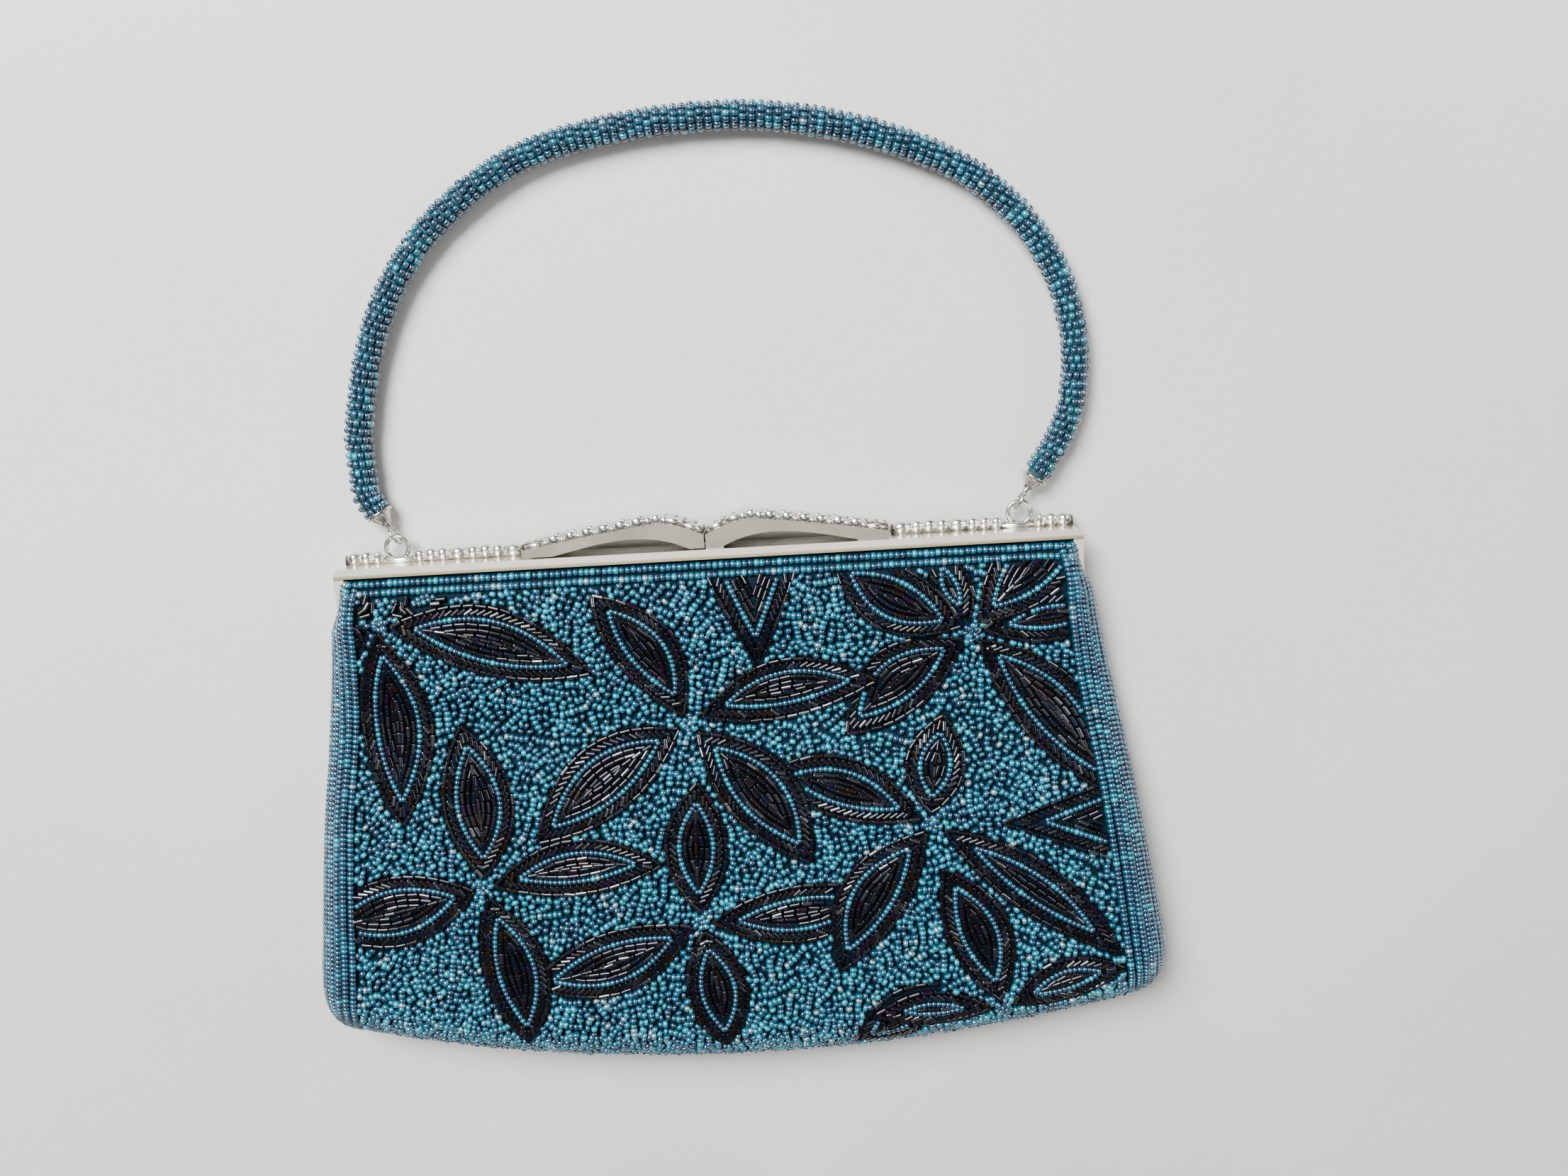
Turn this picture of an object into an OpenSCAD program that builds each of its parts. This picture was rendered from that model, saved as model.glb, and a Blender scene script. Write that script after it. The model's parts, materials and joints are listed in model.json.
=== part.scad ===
// Beaded evening bag with a hinged metal frame, a two-wing snap clasp and a beaded rope handle.
// The bag lies on its back: +Z comes out of the front panel, +Y points from the pouch to the handle.
// The origin is on the underside of the back panel, half way down the pouch.

/* [Frame] */
// Outer width of the metal frame
frame_w = 182; // [170:1:190]
// Distance from the top of the frame down to the hinge axis
leg_len = 22; // [20:1:26]
// Depth of one frame half, back to front
half_depth = 5.4; // [5.2:0.1:6]
// Height of the channel that grips the fabric
channel_h = 2.4; // [2.2:0.1:3]
// Thickness of the frame's sheet metal
sheet_t = 0.6; // [0.5:0.05:0.7]

/* [Pouch] */
// Height of the pouch below the frame
body_h = 133; // [120:1:145]
// Half width of the pouch where it leaves the frame
top_half_w = 92.5; // [91:0.5:95]
// Widening of each side for every millimetre of height
flare = 0.165; // [0.1:0.005:0.2]
// Drop of the bottom edge between its corners and its middle
bottom_bulge = 14; // [6:1:18]
// Radius of the lower corners
corner_r = 12; // [8:1:20]
// Thickness of the pouch at its fullest
belly_t = 19; // [16:0.5:24]
// Thickness of a beaded panel
panel_t = 1.8; // [1.2:0.1:2.4]

/* [Clasp] */
// Length of one clasp wing
wing_len = 44.6; // [40:0.2:45]
// Height of a wing's peak above the frame
wing_h = 6.6; // [5:0.1:8]
// Distance of a wing's peak from the middle of the clasp
wing_peak = 11.5; // [9:0.5:14]

/* [Handle] */
// Diameter of the handle over its beads
handle_d = 7.2; // [6:0.1:7.3]
// Diameter of the rope inside the beads
core_d = 4.6; // [3.6:0.1:4.8]
// Lean of the left end of the handle
lean_left = 30; // [26:1:34]
// Lean of the right end of the handle
lean_right = 34; // [30:1:36]

/* [Hidden] */
$fn = 48;

metal = "silver";
beads = "teal";
satin = "darkslategray";

// Frame heights and depths
frame_z = 0.6;
half_gap = 0.15;
front_z = frame_z + half_depth + half_gap;
mid_z = frame_z + half_depth + half_gap / 2;
front_face_z = front_z + half_depth;
lip_y = body_h / 2;
top_y = lip_y + channel_h;
hinge_y = top_y - leg_len;
hinge_s = lip_y - hinge_y;
outer_r = 2.2;

// Hinge tabs and rivets
tab_r = 2.6;
tab_t = 0.8;
tab_gap = 0.1;
leg_clear = 0.2;
rivet_r = 1;
rivet_head_r = 1.7;
rivet_head_t = 0.5;
rivet_play = 0.05;
back_tab_x = frame_w / 2 - channel_h + 0.1;
front_tab_x = back_tab_x + tab_t + tab_gap;

// Channel cords
cord_r = 0.8;
cord_end_s = 14.5;
leg_mid_x = frame_w / 2 - sheet_t - (channel_h - sheet_t) / 2;

// Pouch
seam_z = 5;
seam_gap = 0.05;
front_roll = 13;
back_roll = 5;
roll_s = 90;
sag = 4;
sag_wave = 56;
front_top_s = hinge_s + 7;
columns = 24;
rows = 20;
lining_t = 0.5;
lining_gap = 0.3;
pocket_w = 110;
pocket_h = 68;
pocket_s = 30;

// Clasp
wing_front_z = 10.9;
wing_back_z = 1.6;
wing_t = 0.8;
wing_lift = 0.3;
seam_clear = 0.2;
wing_steps = 24;
inner_h = 3.2;
outer_h = 1.8;
arch_start = 4.5;
arch_end = 37;
arch_h = 3.1;
ornament_t = 0.6;

// Ring and handle hardware
ring_x = 77;
ring_r = 2.8;
ring_wire = 0.55;
ring_y = top_y + 3.6;
handle_z = 3.7;
swing_y = ring_y + ring_r;
eye_r = 2.3;
eye_wire = 0.4;
eye_offset = 0.4;
stem_r = 0.7;
cap_start = 3.6;
cap_flare = 6.6;
cap_end = 7.2;
cap_gap = 0.05;
cap_guide = 5;

// Route of the handle's middle line, as x and the distance above the frame's lower edge
route_inner = [
    [-83.2, 24.5], [-83.2, 33], [-81.6, 41], [-78.8, 51], [-75, 60], [-69, 70], [-61, 79.5],
    [-49, 89], [-35, 96], [-18, 100], [0, 101.8], [18, 101.3], [35, 98.2], [51, 93],
    [65.5, 86], [76.5, 77], [84.2, 67], [89, 57], [91, 46.5], [90.8, 36.5], [88.6, 27]
];
function handle_end(side, lean, reach) =
    [side * ring_x, swing_y - lip_y] + reach * [side * sin(lean), cos(lean)];
route = concat(
    [for (reach = [cap_end + cap_gap, cap_end + cap_guide]) handle_end(-1, lean_left, reach)],
    route_inner,
    [for (reach = [cap_end + cap_guide, cap_end + cap_gap]) handle_end(1, lean_right, reach)]
);

// ---------------------------------------------------------------- shared functions

function smooth(t) = let (u = max(0, min(1, t))) u * u * (3 - 2 * u);

// Height of the front panel s millimetres below the frame, away from its rolled edges
function belly(s) =
    front_face_z + (belly_t - front_face_z) * smooth(s / roll_s)
    + sag * sin(360 * s / sag_wave) * max(0, 1 - s / (1.25 * sag_wave));

function half_width(s) = top_half_w + flare * s;

// How far down the pouch reaches in the column at fraction a of its half width
function bottom_s(a) =
    let (start = 1 - corner_r / half_width(body_h))
    let (c = max(0, abs(a) - start) / (1 - start))
    body_h - bottom_bulge * a * a * 0.9 - corner_r * (1 - sqrt(max(0, 1 - c * c)));

function roll(d, r) = sqrt(1 - pow(1 - min(1, max(0, d) / r), 2));

function column_at(i) = sin(180 * i / columns - 90);

// A point of a panel's face: inset from the outline, start is the face's upper edge
function panel_point(i, j, inset, start, rise, r) =
    let (a = column_at(i))
    let (end = bottom_s(a) - inset)
    let (s = start + (end - start) * sin(90 * j / rows))
    let (w = half_width(s) - inset)
    [a * w, lip_y - s, rise * roll((1 - abs(a)) * w, r) * roll(end - s, r)];

// Closed shell between an outer and an inner face, both given as rows of points
module shell(outer, inner) {
    n = columns + 1;
    count = n * (rows + 1);
    quads = [for (j = [0:rows - 1]) for (i = [0:columns - 1]) [j * n + i, j * n + i + 1, (j + 1) * n + i + 1, (j + 1) * n + i]];
    rim = concat(
        [for (i = [0:columns]) i],
        [for (j = [1:rows]) j * n + columns],
        [for (i = [columns - 1:-1:0]) rows * n + i],
        [for (j = [rows - 1:-1:1]) j * n]
    );
    last = len(rim);
    polyhedron(
        points = concat(outer, inner),
        faces = concat(
            [for (q = quads) q],
            [for (q = quads) [q[3] + count, q[2] + count, q[1] + count, q[0] + count]],
            [for (k = [0:last - 1]) [rim[(k + 1) % last], rim[k], rim[k] + count, rim[(k + 1) % last] + count]]
        ),
        convexity = 6
    );
}

// Front shell whose outer face is inset from the pouch's outline
module front_shell(inset, t, start) {
    outer = [for (j = [0:rows]) for (i = [0:columns])
        let (p = panel_point(i, j, inset, start, 1, front_roll))
        [p.x, p.y, seam_z + seam_gap + p.z * (belly(lip_y - p.y) - inset - seam_z)]];
    inner = [for (j = [0:rows]) for (i = [0:columns])
        let (p = panel_point(i, j, inset + t, start, 1, front_roll))
        [p.x, p.y, seam_z + seam_gap + p.z * (belly(lip_y - p.y) - inset - t - seam_z)]];
    shell(outer, inner);
}

// Outline of the pouch, inset from its edge, as a flat shape below the line start
module pouch_outline(inset, start) {
    polygon([
        for (i = [0:columns]) let (a = column_at(i)) let (s = bottom_s(a) - inset)
            [a * (half_width(s) - inset), lip_y - s],
        [half_width(start) - inset, lip_y - start],
        [inset - half_width(start), lip_y - start]
    ]);
}

module at_side(side) {
    mirror([side < 0 ? 1 : 0, 0, 0]) children();
}

// ---------------------------------------------------------------- frame

// Flat outline of a frame half: a bar across the top and a leg down each side
module frame_outline(edge, leg_end) {
    half = frame_w / 2 - edge;
    difference() {
        union() {
            translate([-half, leg_end]) square([2 * half, top_y - edge - outer_r - leg_end]);
            translate([outer_r - half, leg_end]) square([2 * (half - outer_r), top_y - edge - leg_end]);
            for (x = [outer_r - half, half - outer_r])
                translate([x, top_y - edge - outer_r]) circle(outer_r);
        }
        translate([channel_h - frame_w / 2, leg_end - 1])
            square([frame_w - 2 * channel_h, lip_y - leg_end + 1]);
    }
}

// One half of the frame as a channel that opens towards the pouch
module frame_half(z) {
    leg_end = hinge_y + tab_r + leg_clear;
    difference() {
        translate([0, 0, z]) linear_extrude(half_depth) frame_outline(0, leg_end);
        translate([sheet_t - frame_w / 2, leg_end - 1, z + sheet_t])
            cube([frame_w - 2 * sheet_t, top_y - sheet_t - leg_end + 1, half_depth - 2 * sheet_t]);
    }
}

// Hinge tab at the foot of a leg, with its bore along X
module hinge_tab(x, bore_r, neck_z, neck_h) {
    difference() {
        union() {
            translate([x, hinge_y, mid_z]) rotate([0, 90, 0]) cylinder(r = tab_r, h = tab_t);
            translate([x, hinge_y, neck_z]) cube([tab_t, tab_r + 2, neck_h]);
        }
        translate([x - 1, hinge_y, mid_z]) rotate([0, 90, 0]) cylinder(r = bore_r, h = tab_t + 2);
    }
}

module back_frame() {
    color(metal) union() {
        frame_half(frame_z);
        for (side = [-1, 1])
            at_side(side) hinge_tab(back_tab_x, rivet_r, mid_z - tab_r, tab_r - half_gap / 2);
    }
}

module front_frame() {
    color(metal) union() {
        frame_half(front_z);
        for (side = [-1, 1])
            at_side(side) hinge_tab(front_tab_x, rivet_r + rivet_play, front_z, tab_r - half_gap / 2);
    }
}

module hinge_rivet(side) {
    inner_x = back_tab_x - rivet_play;
    outer_x = front_tab_x + tab_t + rivet_play;
    color("gray") at_side(side) translate([0, hinge_y, mid_z]) rotate([0, 90, 0]) union() {
        translate([0, 0, inner_x - rivet_head_t]) cylinder(r = rivet_head_r, h = rivet_head_t);
        translate([0, 0, inner_x]) cylinder(r = rivet_r, h = outer_x - inner_x);
        translate([0, 0, outer_x]) cylinder(r = rivet_head_r, h = rivet_head_t);
    }
}

module hinge_rivet_left() { hinge_rivet(-1); }
module hinge_rivet_right() { hinge_rivet(1); }

// Paper cord that wedges the fabric in a frame half's channel
module channel_cord(z) {
    y = lip_y + (channel_h - sheet_t) / 2;
    color("tan") translate([0, 0, z]) union() {
        translate([-leg_mid_x, y, 0]) rotate([0, 90, 0]) cylinder(r = cord_r, h = 2 * leg_mid_x);
        for (x = [-leg_mid_x, leg_mid_x]) {
            translate([x, y, 0]) sphere(r = cord_r);
            translate([x, y, 0]) rotate([90, 0, 0]) cylinder(r = cord_r, h = cord_end_s);
        }
    }
}

module back_channel_cord() { channel_cord(frame_z + 3.7); }
module front_channel_cord() { channel_cord(front_z + 1.65); }

// ---------------------------------------------------------------- clasp and ornaments

// Height of a wing's upper and lower edges at the distance u from the middle
function wing_top(u) =
    u < wing_peak
    ? inner_h + (wing_h - inner_h) * sin(90 * u / wing_peak)
    : outer_h + (wing_h - outer_h) * (1 - pow((u - wing_peak) / (wing_len - wing_peak), 1.15));

function wing_arch(u) =
    let (q = max(0, min(1, (u - arch_start) / (arch_end - arch_start))))
    arch_h * sin(180 * pow(q, 0.75));

function wing_u(k) = seam_clear + (wing_len - seam_clear) * k / wing_steps;

module wing_band() {
    polygon(concat(
        [for (k = [0:wing_steps]) [wing_u(k), wing_top(wing_u(k))]],
        [for (k = [wing_steps:-1:0]) [wing_u(k), min(wing_arch(wing_u(k)), wing_top(wing_u(k)) - wing_t)]]
    ));
}

// Strip that follows a wing's upper edge, from the height low to the height high above it
module wing_strip(low, high) {
    polygon(concat(
        [for (k = [0:wing_steps]) [wing_u(k), wing_top(wing_u(k)) + high]],
        [for (k = [wing_steps:-1:0]) [wing_u(k), wing_top(wing_u(k)) + low]]
    ));
}

// A folded sheet wing: a front flange, a back flange, a top, and feet on the half that carries it
module clasp_wing(side, foot_z, foot_d) {
    color(metal) at_side(side) union() {
        translate([0, top_y + wing_lift, wing_front_z - wing_t]) linear_extrude(wing_t) wing_band();
        translate([0, top_y + wing_lift, wing_back_z]) linear_extrude(wing_t) wing_band();
        translate([0, top_y + wing_lift, wing_back_z]) linear_extrude(wing_front_z - wing_back_z)
            wing_strip(-wing_t, 0);
        for (foot = [[seam_clear, arch_start], [arch_end, wing_len]])
            translate([foot[0], top_y, foot_z]) cube([foot[1] - foot[0], wing_lift + 0.6, foot_d]);
    }
}

module clasp_wing_left() { clasp_wing(-1, wing_back_z, mid_z - wing_back_z - 0.3); }
module clasp_wing_right() { clasp_wing(1, mid_z + 0.3, wing_front_z - mid_z - 0.3); }

// A cast bead on a base plate, standing up along +Y
module stud(r, h) {
    rotate([-90, 0, 0]) rotate_extrude($fn = 24) intersection() {
        translate([0, h - r]) circle(r);
        square([r, h]);
    }
}

module wing_ornament(side) {
    studs = 12;
    pitch = (wing_len - 3.4) / (studs - 1);
    color("lightgray") at_side(side) translate([0, top_y + wing_lift, 0]) union() {
        translate([0, 0, wing_back_z + 1]) linear_extrude(wing_front_z - wing_back_z - 1.6)
            wing_strip(0, ornament_t);
        for (k = [0:studs - 1])
            let (u = 1.8 + pitch * k)
            let (slope = atan((wing_top(u + 0.5) - wing_top(u - 0.5))))
            translate([u, wing_top(u) + 0.3, (wing_back_z + wing_front_z) / 2 + 0.2])
                rotate([0, 0, slope]) stud(1.5, k % 3 == 0 ? 2.1 : 1.7);
    }
}

module wing_ornament_left() { wing_ornament(-1); }
module wing_ornament_right() { wing_ornament(1); }

module end_ornament(side) {
    start_x = wing_len + 0.9;
    end_x = frame_w / 2 - 1.2;
    low_z = 1.2;
    high_z = frame_z + half_depth - 0.1;
    notch = ring_r + ring_wire + 0.5;
    studs = 13;
    pitch = (end_x - start_x - 3) / (studs - 1);
    color("lightgray") at_side(side) difference() {
        union() {
            translate([start_x, top_y, low_z]) cube([end_x - start_x, 0.8, high_z - low_z]);
            for (k = [0:studs - 1])
                translate([start_x + 1.5 + pitch * k, top_y + 0.4, (low_z + high_z) / 2])
                    stud(1.5, k % 3 == 1 ? 2.1 : 1.6);
        }
        translate([ring_x - notch, top_y - 1, 0]) cube([2 * notch, 6, handle_z + ring_wire + 0.3]);
    }
}

module end_ornament_left() { end_ornament(-1); }
module end_ornament_right() { end_ornament(1); }

// ---------------------------------------------------------------- rings and handle hardware

module wire_ring(r, wire) {
    rotate_extrude() translate([r, 0]) circle(wire);
}

module ring_boss(side) {
    color(metal) at_side(side) difference() {
        translate([ring_x - 1.5, top_y, handle_z - 0.85]) cube([3, 1.1, 1.7]);
        translate([ring_x, ring_y, handle_z]) wire_ring(ring_r, ring_wire);
    }
}

module ring_boss_left() { ring_boss(-1); }
module ring_boss_right() { ring_boss(1); }

module frame_ring(side) {
    color(metal) at_side(side) translate([ring_x, ring_y, handle_z]) wire_ring(ring_r, ring_wire);
}

module frame_ring_left() { frame_ring(-1); }
module frame_ring_right() { frame_ring(1); }

// Places its children on a handle end: the origin is in the ring's top wire, +Y runs to the handle
module at_handle_end(side, lean) {
    at_side(side) translate([ring_x, swing_y, handle_z]) rotate([0, 0, -lean]) children();
}

module eye_pin(side, lean) {
    color(metal) at_handle_end(side, lean) union() {
        translate([0, eye_offset, 0]) rotate([0, 90, 0]) wire_ring(eye_r, eye_wire);
        translate([0, eye_offset + eye_r, 0]) rotate([-90, 0, 0])
            cylinder(r = stem_r, h = cap_end - eye_offset - eye_r);
    }
}

module eye_pin_left() { eye_pin(-1, lean_left); }
module eye_pin_right() { eye_pin(1, lean_right); }

module end_cap(side, lean) {
    color(metal) at_handle_end(side, lean) rotate([-90, 0, 0]) rotate_extrude()
        polygon([
            [stem_r, cap_start], [1.3, cap_start], [1.7, cap_start + 0.9], [2.9, cap_flare - 0.5],
            [handle_d / 2 - 0.1, cap_flare], [handle_d / 2 - 0.1, cap_end], [stem_r, cap_end]
        ]);
}

module end_cap_left() { end_cap(-1, lean_left); }
module end_cap_right() { end_cap(1, lean_right); }

// Catmull-Rom curve through the route's points, with steps points in each stretch
function route_at(k) = route[max(0, min(len(route) - 1, k))];
function curve(k, t) =
    let (a = route_at(k - 1), b = route_at(k), c = route_at(k + 1), d = route_at(k + 2))
    0.5 * (2 * b + (c - a) * t + (2 * a - 5 * b + 4 * c - d) * t * t + (3 * b - a - 3 * c + d) * t * t * t);
function route_points(steps) = concat(
    [for (k = [0:len(route) - 2]) for (m = [0:steps - 1]) curve(k, m / steps)],
    [route[len(route) - 1]]
);

// Direction of the path at its point k, which at either end is the lean of that end
function path_way(path, k) =
    k == 0 ? route[1] - route[0]
    : k == len(path) - 1 ? route[len(route) - 1] - route[len(route) - 2]
    : path[k + 1] - path[k - 1];

// One ring of points round a flat path at its point k
function tube_ring(path, k, r, sides) =
    let (d = path_way(path, k))
    let (n = [-d.y, d.x] / norm(d))
    [for (m = [0:sides - 1]) let (q = 360 * m / sides)
        [path[k].x + r * cos(q) * n.x, lip_y + path[k].y + r * cos(q) * n.y, handle_z + r * sin(q)]];

function tube_sides(first, rings, sides, flip) =
    [for (k = [0:rings - 2]) for (m = [0:sides - 1])
        let (a = first + k * sides + m)
        let (b = first + k * sides + (m + 1) % sides)
        flip ? [a, b, b + sides, a + sides] : [a, a + sides, b + sides, b]];

module handle_core() {
    path = route_points(3);
    sides = 8;
    rings = len(path);
    color("darkcyan") polyhedron(
        points = [for (k = [0:rings - 1]) for (p = tube_ring(path, k, core_d / 2, sides)) p],
        faces = concat(
            tube_sides(0, rings, sides, false),
            [[for (m = [0:sides - 1]) m]],
            [[for (m = [sides - 1:-1:0]) (rings - 1) * sides + m]]
        ),
        convexity = 8
    );
}

module handle_beading() {
    path = route_points(3);
    sides = 12;
    rings = len(path);
    count = rings * sides;
    last = count - sides;
    color(beads) polyhedron(
        points = concat(
            [for (k = [0:rings - 1]) for (p = tube_ring(path, k, handle_d / 2, sides)) p],
            [for (k = [0:rings - 1]) for (p = tube_ring(path, k, core_d / 2 + 0.15, sides)) p]
        ),
        faces = concat(
            tube_sides(0, rings, sides, false),
            tube_sides(count, rings, sides, true),
            [for (m = [0:sides - 1]) let (n = (m + 1) % sides) [n, n + count, m + count, m]],
            [for (m = [0:sides - 1]) let (n = (m + 1) % sides) [last + m, last + m + count, last + n + count, last + n]]
        ),
        convexity = 8
    );
}

// ---------------------------------------------------------------- pouch

module back_panel() {
    start = hinge_s;
    outer = [for (j = [0:rows]) for (i = [0:columns])
        let (p = panel_point(i, j, 0, start, seam_z, back_roll))
        [p.x, p.y, seam_z - seam_gap - p.z * (seam_z - seam_gap) / seam_z]];
    inner = [for (j = [0:rows]) for (i = [0:columns])
        let (p = panel_point(i, j, panel_t, start, seam_z - panel_t, back_roll))
        [p.x, p.y, seam_z - seam_gap - p.z * (seam_z - panel_t - seam_gap) / (seam_z - panel_t)]];
    color(beads) shell(inner, outer);
}

module back_panel_top() {
    half = frame_w / 2 - channel_h + 0.4;
    color(beads) translate([-half, hinge_y + 0.2, frame_z + 0.7])
        cube([2 * half, lip_y - hinge_y + 1.3, 1.1]);
}

module front_panel() {
    color(beads) front_shell(0, panel_t, front_top_s);
}

module front_panel_top() {
    half = frame_w / 2 - channel_h + 0.4;
    color(beads) translate([-half, hinge_y + 0.5, front_z + 2.85])
        cube([2 * half, lip_y - hinge_y + 1, 1.4]);
}

module back_lining() {
    color(satin) translate([0, 0, frame_z + 1.9]) linear_extrude(lining_t) pouch_outline(8, -1);
}

module front_lining() {
    color(satin) front_shell(panel_t + lining_gap, lining_t, front_top_s + 0.5);
}

module slip_pocket() {
    color(satin) translate([-pocket_w / 2, lip_y - pocket_s - pocket_h, frame_z + 2.5])
        cube([pocket_w, pocket_h, lining_t]);
}

back_frame();
front_frame();
hinge_rivet_left();
hinge_rivet_right();
back_channel_cord();
front_channel_cord();
clasp_wing_left();
clasp_wing_right();
wing_ornament_left();
wing_ornament_right();
end_ornament_left();
end_ornament_right();
ring_boss_left();
ring_boss_right();
frame_ring_left();
frame_ring_right();
eye_pin_left();
eye_pin_right();
end_cap_left();
end_cap_right();
handle_core();
handle_beading();
back_panel();
back_panel_top();
front_panel();
front_panel_top();
back_lining();
front_lining();
slip_pocket();
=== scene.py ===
import json
import math

import bpy
import numpy as np
from mathutils import Matrix, Vector


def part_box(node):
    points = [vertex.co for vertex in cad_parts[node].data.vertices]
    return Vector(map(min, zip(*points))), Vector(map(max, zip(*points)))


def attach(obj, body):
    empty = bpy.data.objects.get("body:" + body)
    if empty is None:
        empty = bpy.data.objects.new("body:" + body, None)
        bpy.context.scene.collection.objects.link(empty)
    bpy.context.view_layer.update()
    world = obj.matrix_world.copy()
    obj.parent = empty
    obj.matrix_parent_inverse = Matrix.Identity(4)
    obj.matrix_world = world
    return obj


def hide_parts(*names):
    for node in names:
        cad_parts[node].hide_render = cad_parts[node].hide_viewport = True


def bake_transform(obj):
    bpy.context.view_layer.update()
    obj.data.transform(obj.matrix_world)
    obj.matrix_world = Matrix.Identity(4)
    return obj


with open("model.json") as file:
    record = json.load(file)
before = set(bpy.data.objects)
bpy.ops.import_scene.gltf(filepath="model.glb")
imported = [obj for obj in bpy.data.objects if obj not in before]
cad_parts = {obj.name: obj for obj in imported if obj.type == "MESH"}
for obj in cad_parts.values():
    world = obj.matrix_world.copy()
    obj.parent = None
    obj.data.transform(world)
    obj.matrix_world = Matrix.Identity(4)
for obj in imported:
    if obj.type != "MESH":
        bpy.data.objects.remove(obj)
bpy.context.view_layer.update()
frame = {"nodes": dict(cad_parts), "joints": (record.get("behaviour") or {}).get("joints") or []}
rng = np.random.default_rng(11)
MM = 0.001

# ---- camera, lights and sky

SENSOR_WIDTH, LENS, CLIP_START = 36, 29.12, 0.01
CAMERA_PLACE = (0.02586, 0.11831, 0.31323)
CAMERA_TURNS = ((-11.23, "X"), (1.38, "Y"), (-3.18, "Z"))

camera_data = bpy.data.cameras.new("camera")
camera_data.sensor_width = SENSOR_WIDTH
camera_data.lens = LENS
camera_data.clip_start = CLIP_START
camera = bpy.data.objects.new("camera", camera_data)
bpy.context.scene.collection.objects.link(camera)
turn = Matrix.Identity(4)
for degrees, about in CAMERA_TURNS:
    turn = turn @ Matrix.Rotation(math.radians(degrees), 4, about)
camera.matrix_world = Matrix.Translation(CAMERA_PLACE) @ turn
bpy.context.scene.camera = camera


def area_light(name, place, aim, size, watts, colour):
    """A rectangular light at a place, turned towards its aim."""
    data = bpy.data.lights.new(name, "AREA")
    data.shape = "RECTANGLE"
    data.size, data.size_y = size
    data.energy = watts
    data.color = colour
    light = bpy.data.objects.new(name, data)
    bpy.context.scene.collection.objects.link(light)
    away = Vector(place) - Vector(aim)
    light.matrix_world = Matrix.Translation(place) @ away.to_track_quat("Z", "Y").to_matrix().to_4x4()


def colour_ramp(nodes, first, last, between=()):
    """A ramp node that goes from one (place, colour) to another, by way of those between."""
    ramp = nodes.new("ShaderNodeValToRGB")
    elements = ramp.color_ramp.elements
    for k, (at, colour) in enumerate((first, last)):
        elements[k].position = at
        elements[k].color = (*colour, 1)
    for at, colour in between:
        elements.new(at).color = (*colour, 1)
    return ramp


area_light("key", (-0.42, 0.70, 0.95), (0, 0.03, 0), (0.6, 0.6), 47, (0.94, 0.98, 1.0))
area_light("strip", (-0.08, -0.075, 0.95), (-0.08, 0.07, 0), (0.95, 0.24), 1.5, (1.0, 0.96, 0.88))
area_light("side", (0.8, 0.3, 0.45), (0, 0.03, 0), (0.3, 0.3), 3, (0.95, 0.98, 1.0))

SKY_LOW, SKY_HIGH = (0.0, (0.42, 0.44, 0.46)), (0.85, (0.88, 0.93, 1.0))
SKY_STRENGTH = 0.22

world = bpy.data.worlds.new("studio")
world.use_nodes = True
sky = world.node_tree.nodes
direction = sky.new("ShaderNodeTexCoord")
split = sky.new("ShaderNodeSeparateXYZ")
shade = colour_ramp(sky, SKY_LOW, SKY_HIGH)
world.node_tree.links.new(direction.outputs["Generated"], split.inputs[0])
world.node_tree.links.new(split.outputs["Z"], shade.inputs["Fac"])
world.node_tree.links.new(shade.outputs["Color"], sky["Background"].inputs["Color"])
sky["Background"].inputs["Strength"].default_value = SKY_STRENGTH
bpy.context.scene.world = world

# ---- materials

BODY_IOR, COAT_ROUGH = 1.33, 0.1
WHITE = (1, 1, 1)
BROAD_LOW, BROAD_HIGH, BROAD_DETAIL = 0.32, 0.68, 6
BUMP_STRENGTH, WEAVE_DISTORTION = 0.5, 0.6
MIX_FACTOR, MIX_A, MIX_B, MIX_RESULT = 0, 6, 7, 2
# Painted shade: the colours that darken a band along the rail's lower edge
PAINTED_EDGE_SHADES = ((0.12, (0.42, 0.38, 0.28)), (0.62, (0.55, 0.50, 0.38)))


def glass(name, colour, metallic, rough, coat, coat_ior):
    """Glass for beads: a dull coloured body under a clear coat. Each bead takes one of several."""
    material = bpy.data.materials.new(name)
    material.use_nodes = True
    inputs = material.node_tree.nodes["Principled BSDF"].inputs
    inputs["Base Color"].default_value = (*colour, 1)
    inputs["Metallic"].default_value = metallic
    inputs["Roughness"].default_value = rough
    inputs["Coat Weight"].default_value = coat
    inputs["Coat Roughness"].default_value = COAT_ROUGH
    inputs["Coat IOR"].default_value = coat_ior
    inputs["IOR"].default_value = BODY_IOR
    return material


def multiply(nodes, link, colour, by):
    """The colour that one colour socket makes with another."""
    mix = nodes.new("ShaderNodeMix")
    mix.data_type = "RGBA"
    mix.blend_type = "MULTIPLY"
    mix.inputs[MIX_FACTOR].default_value = 1
    link(colour, mix.inputs[MIX_A])
    link(by, mix.inputs[MIX_B])
    return mix.outputs[MIX_RESULT]


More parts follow.
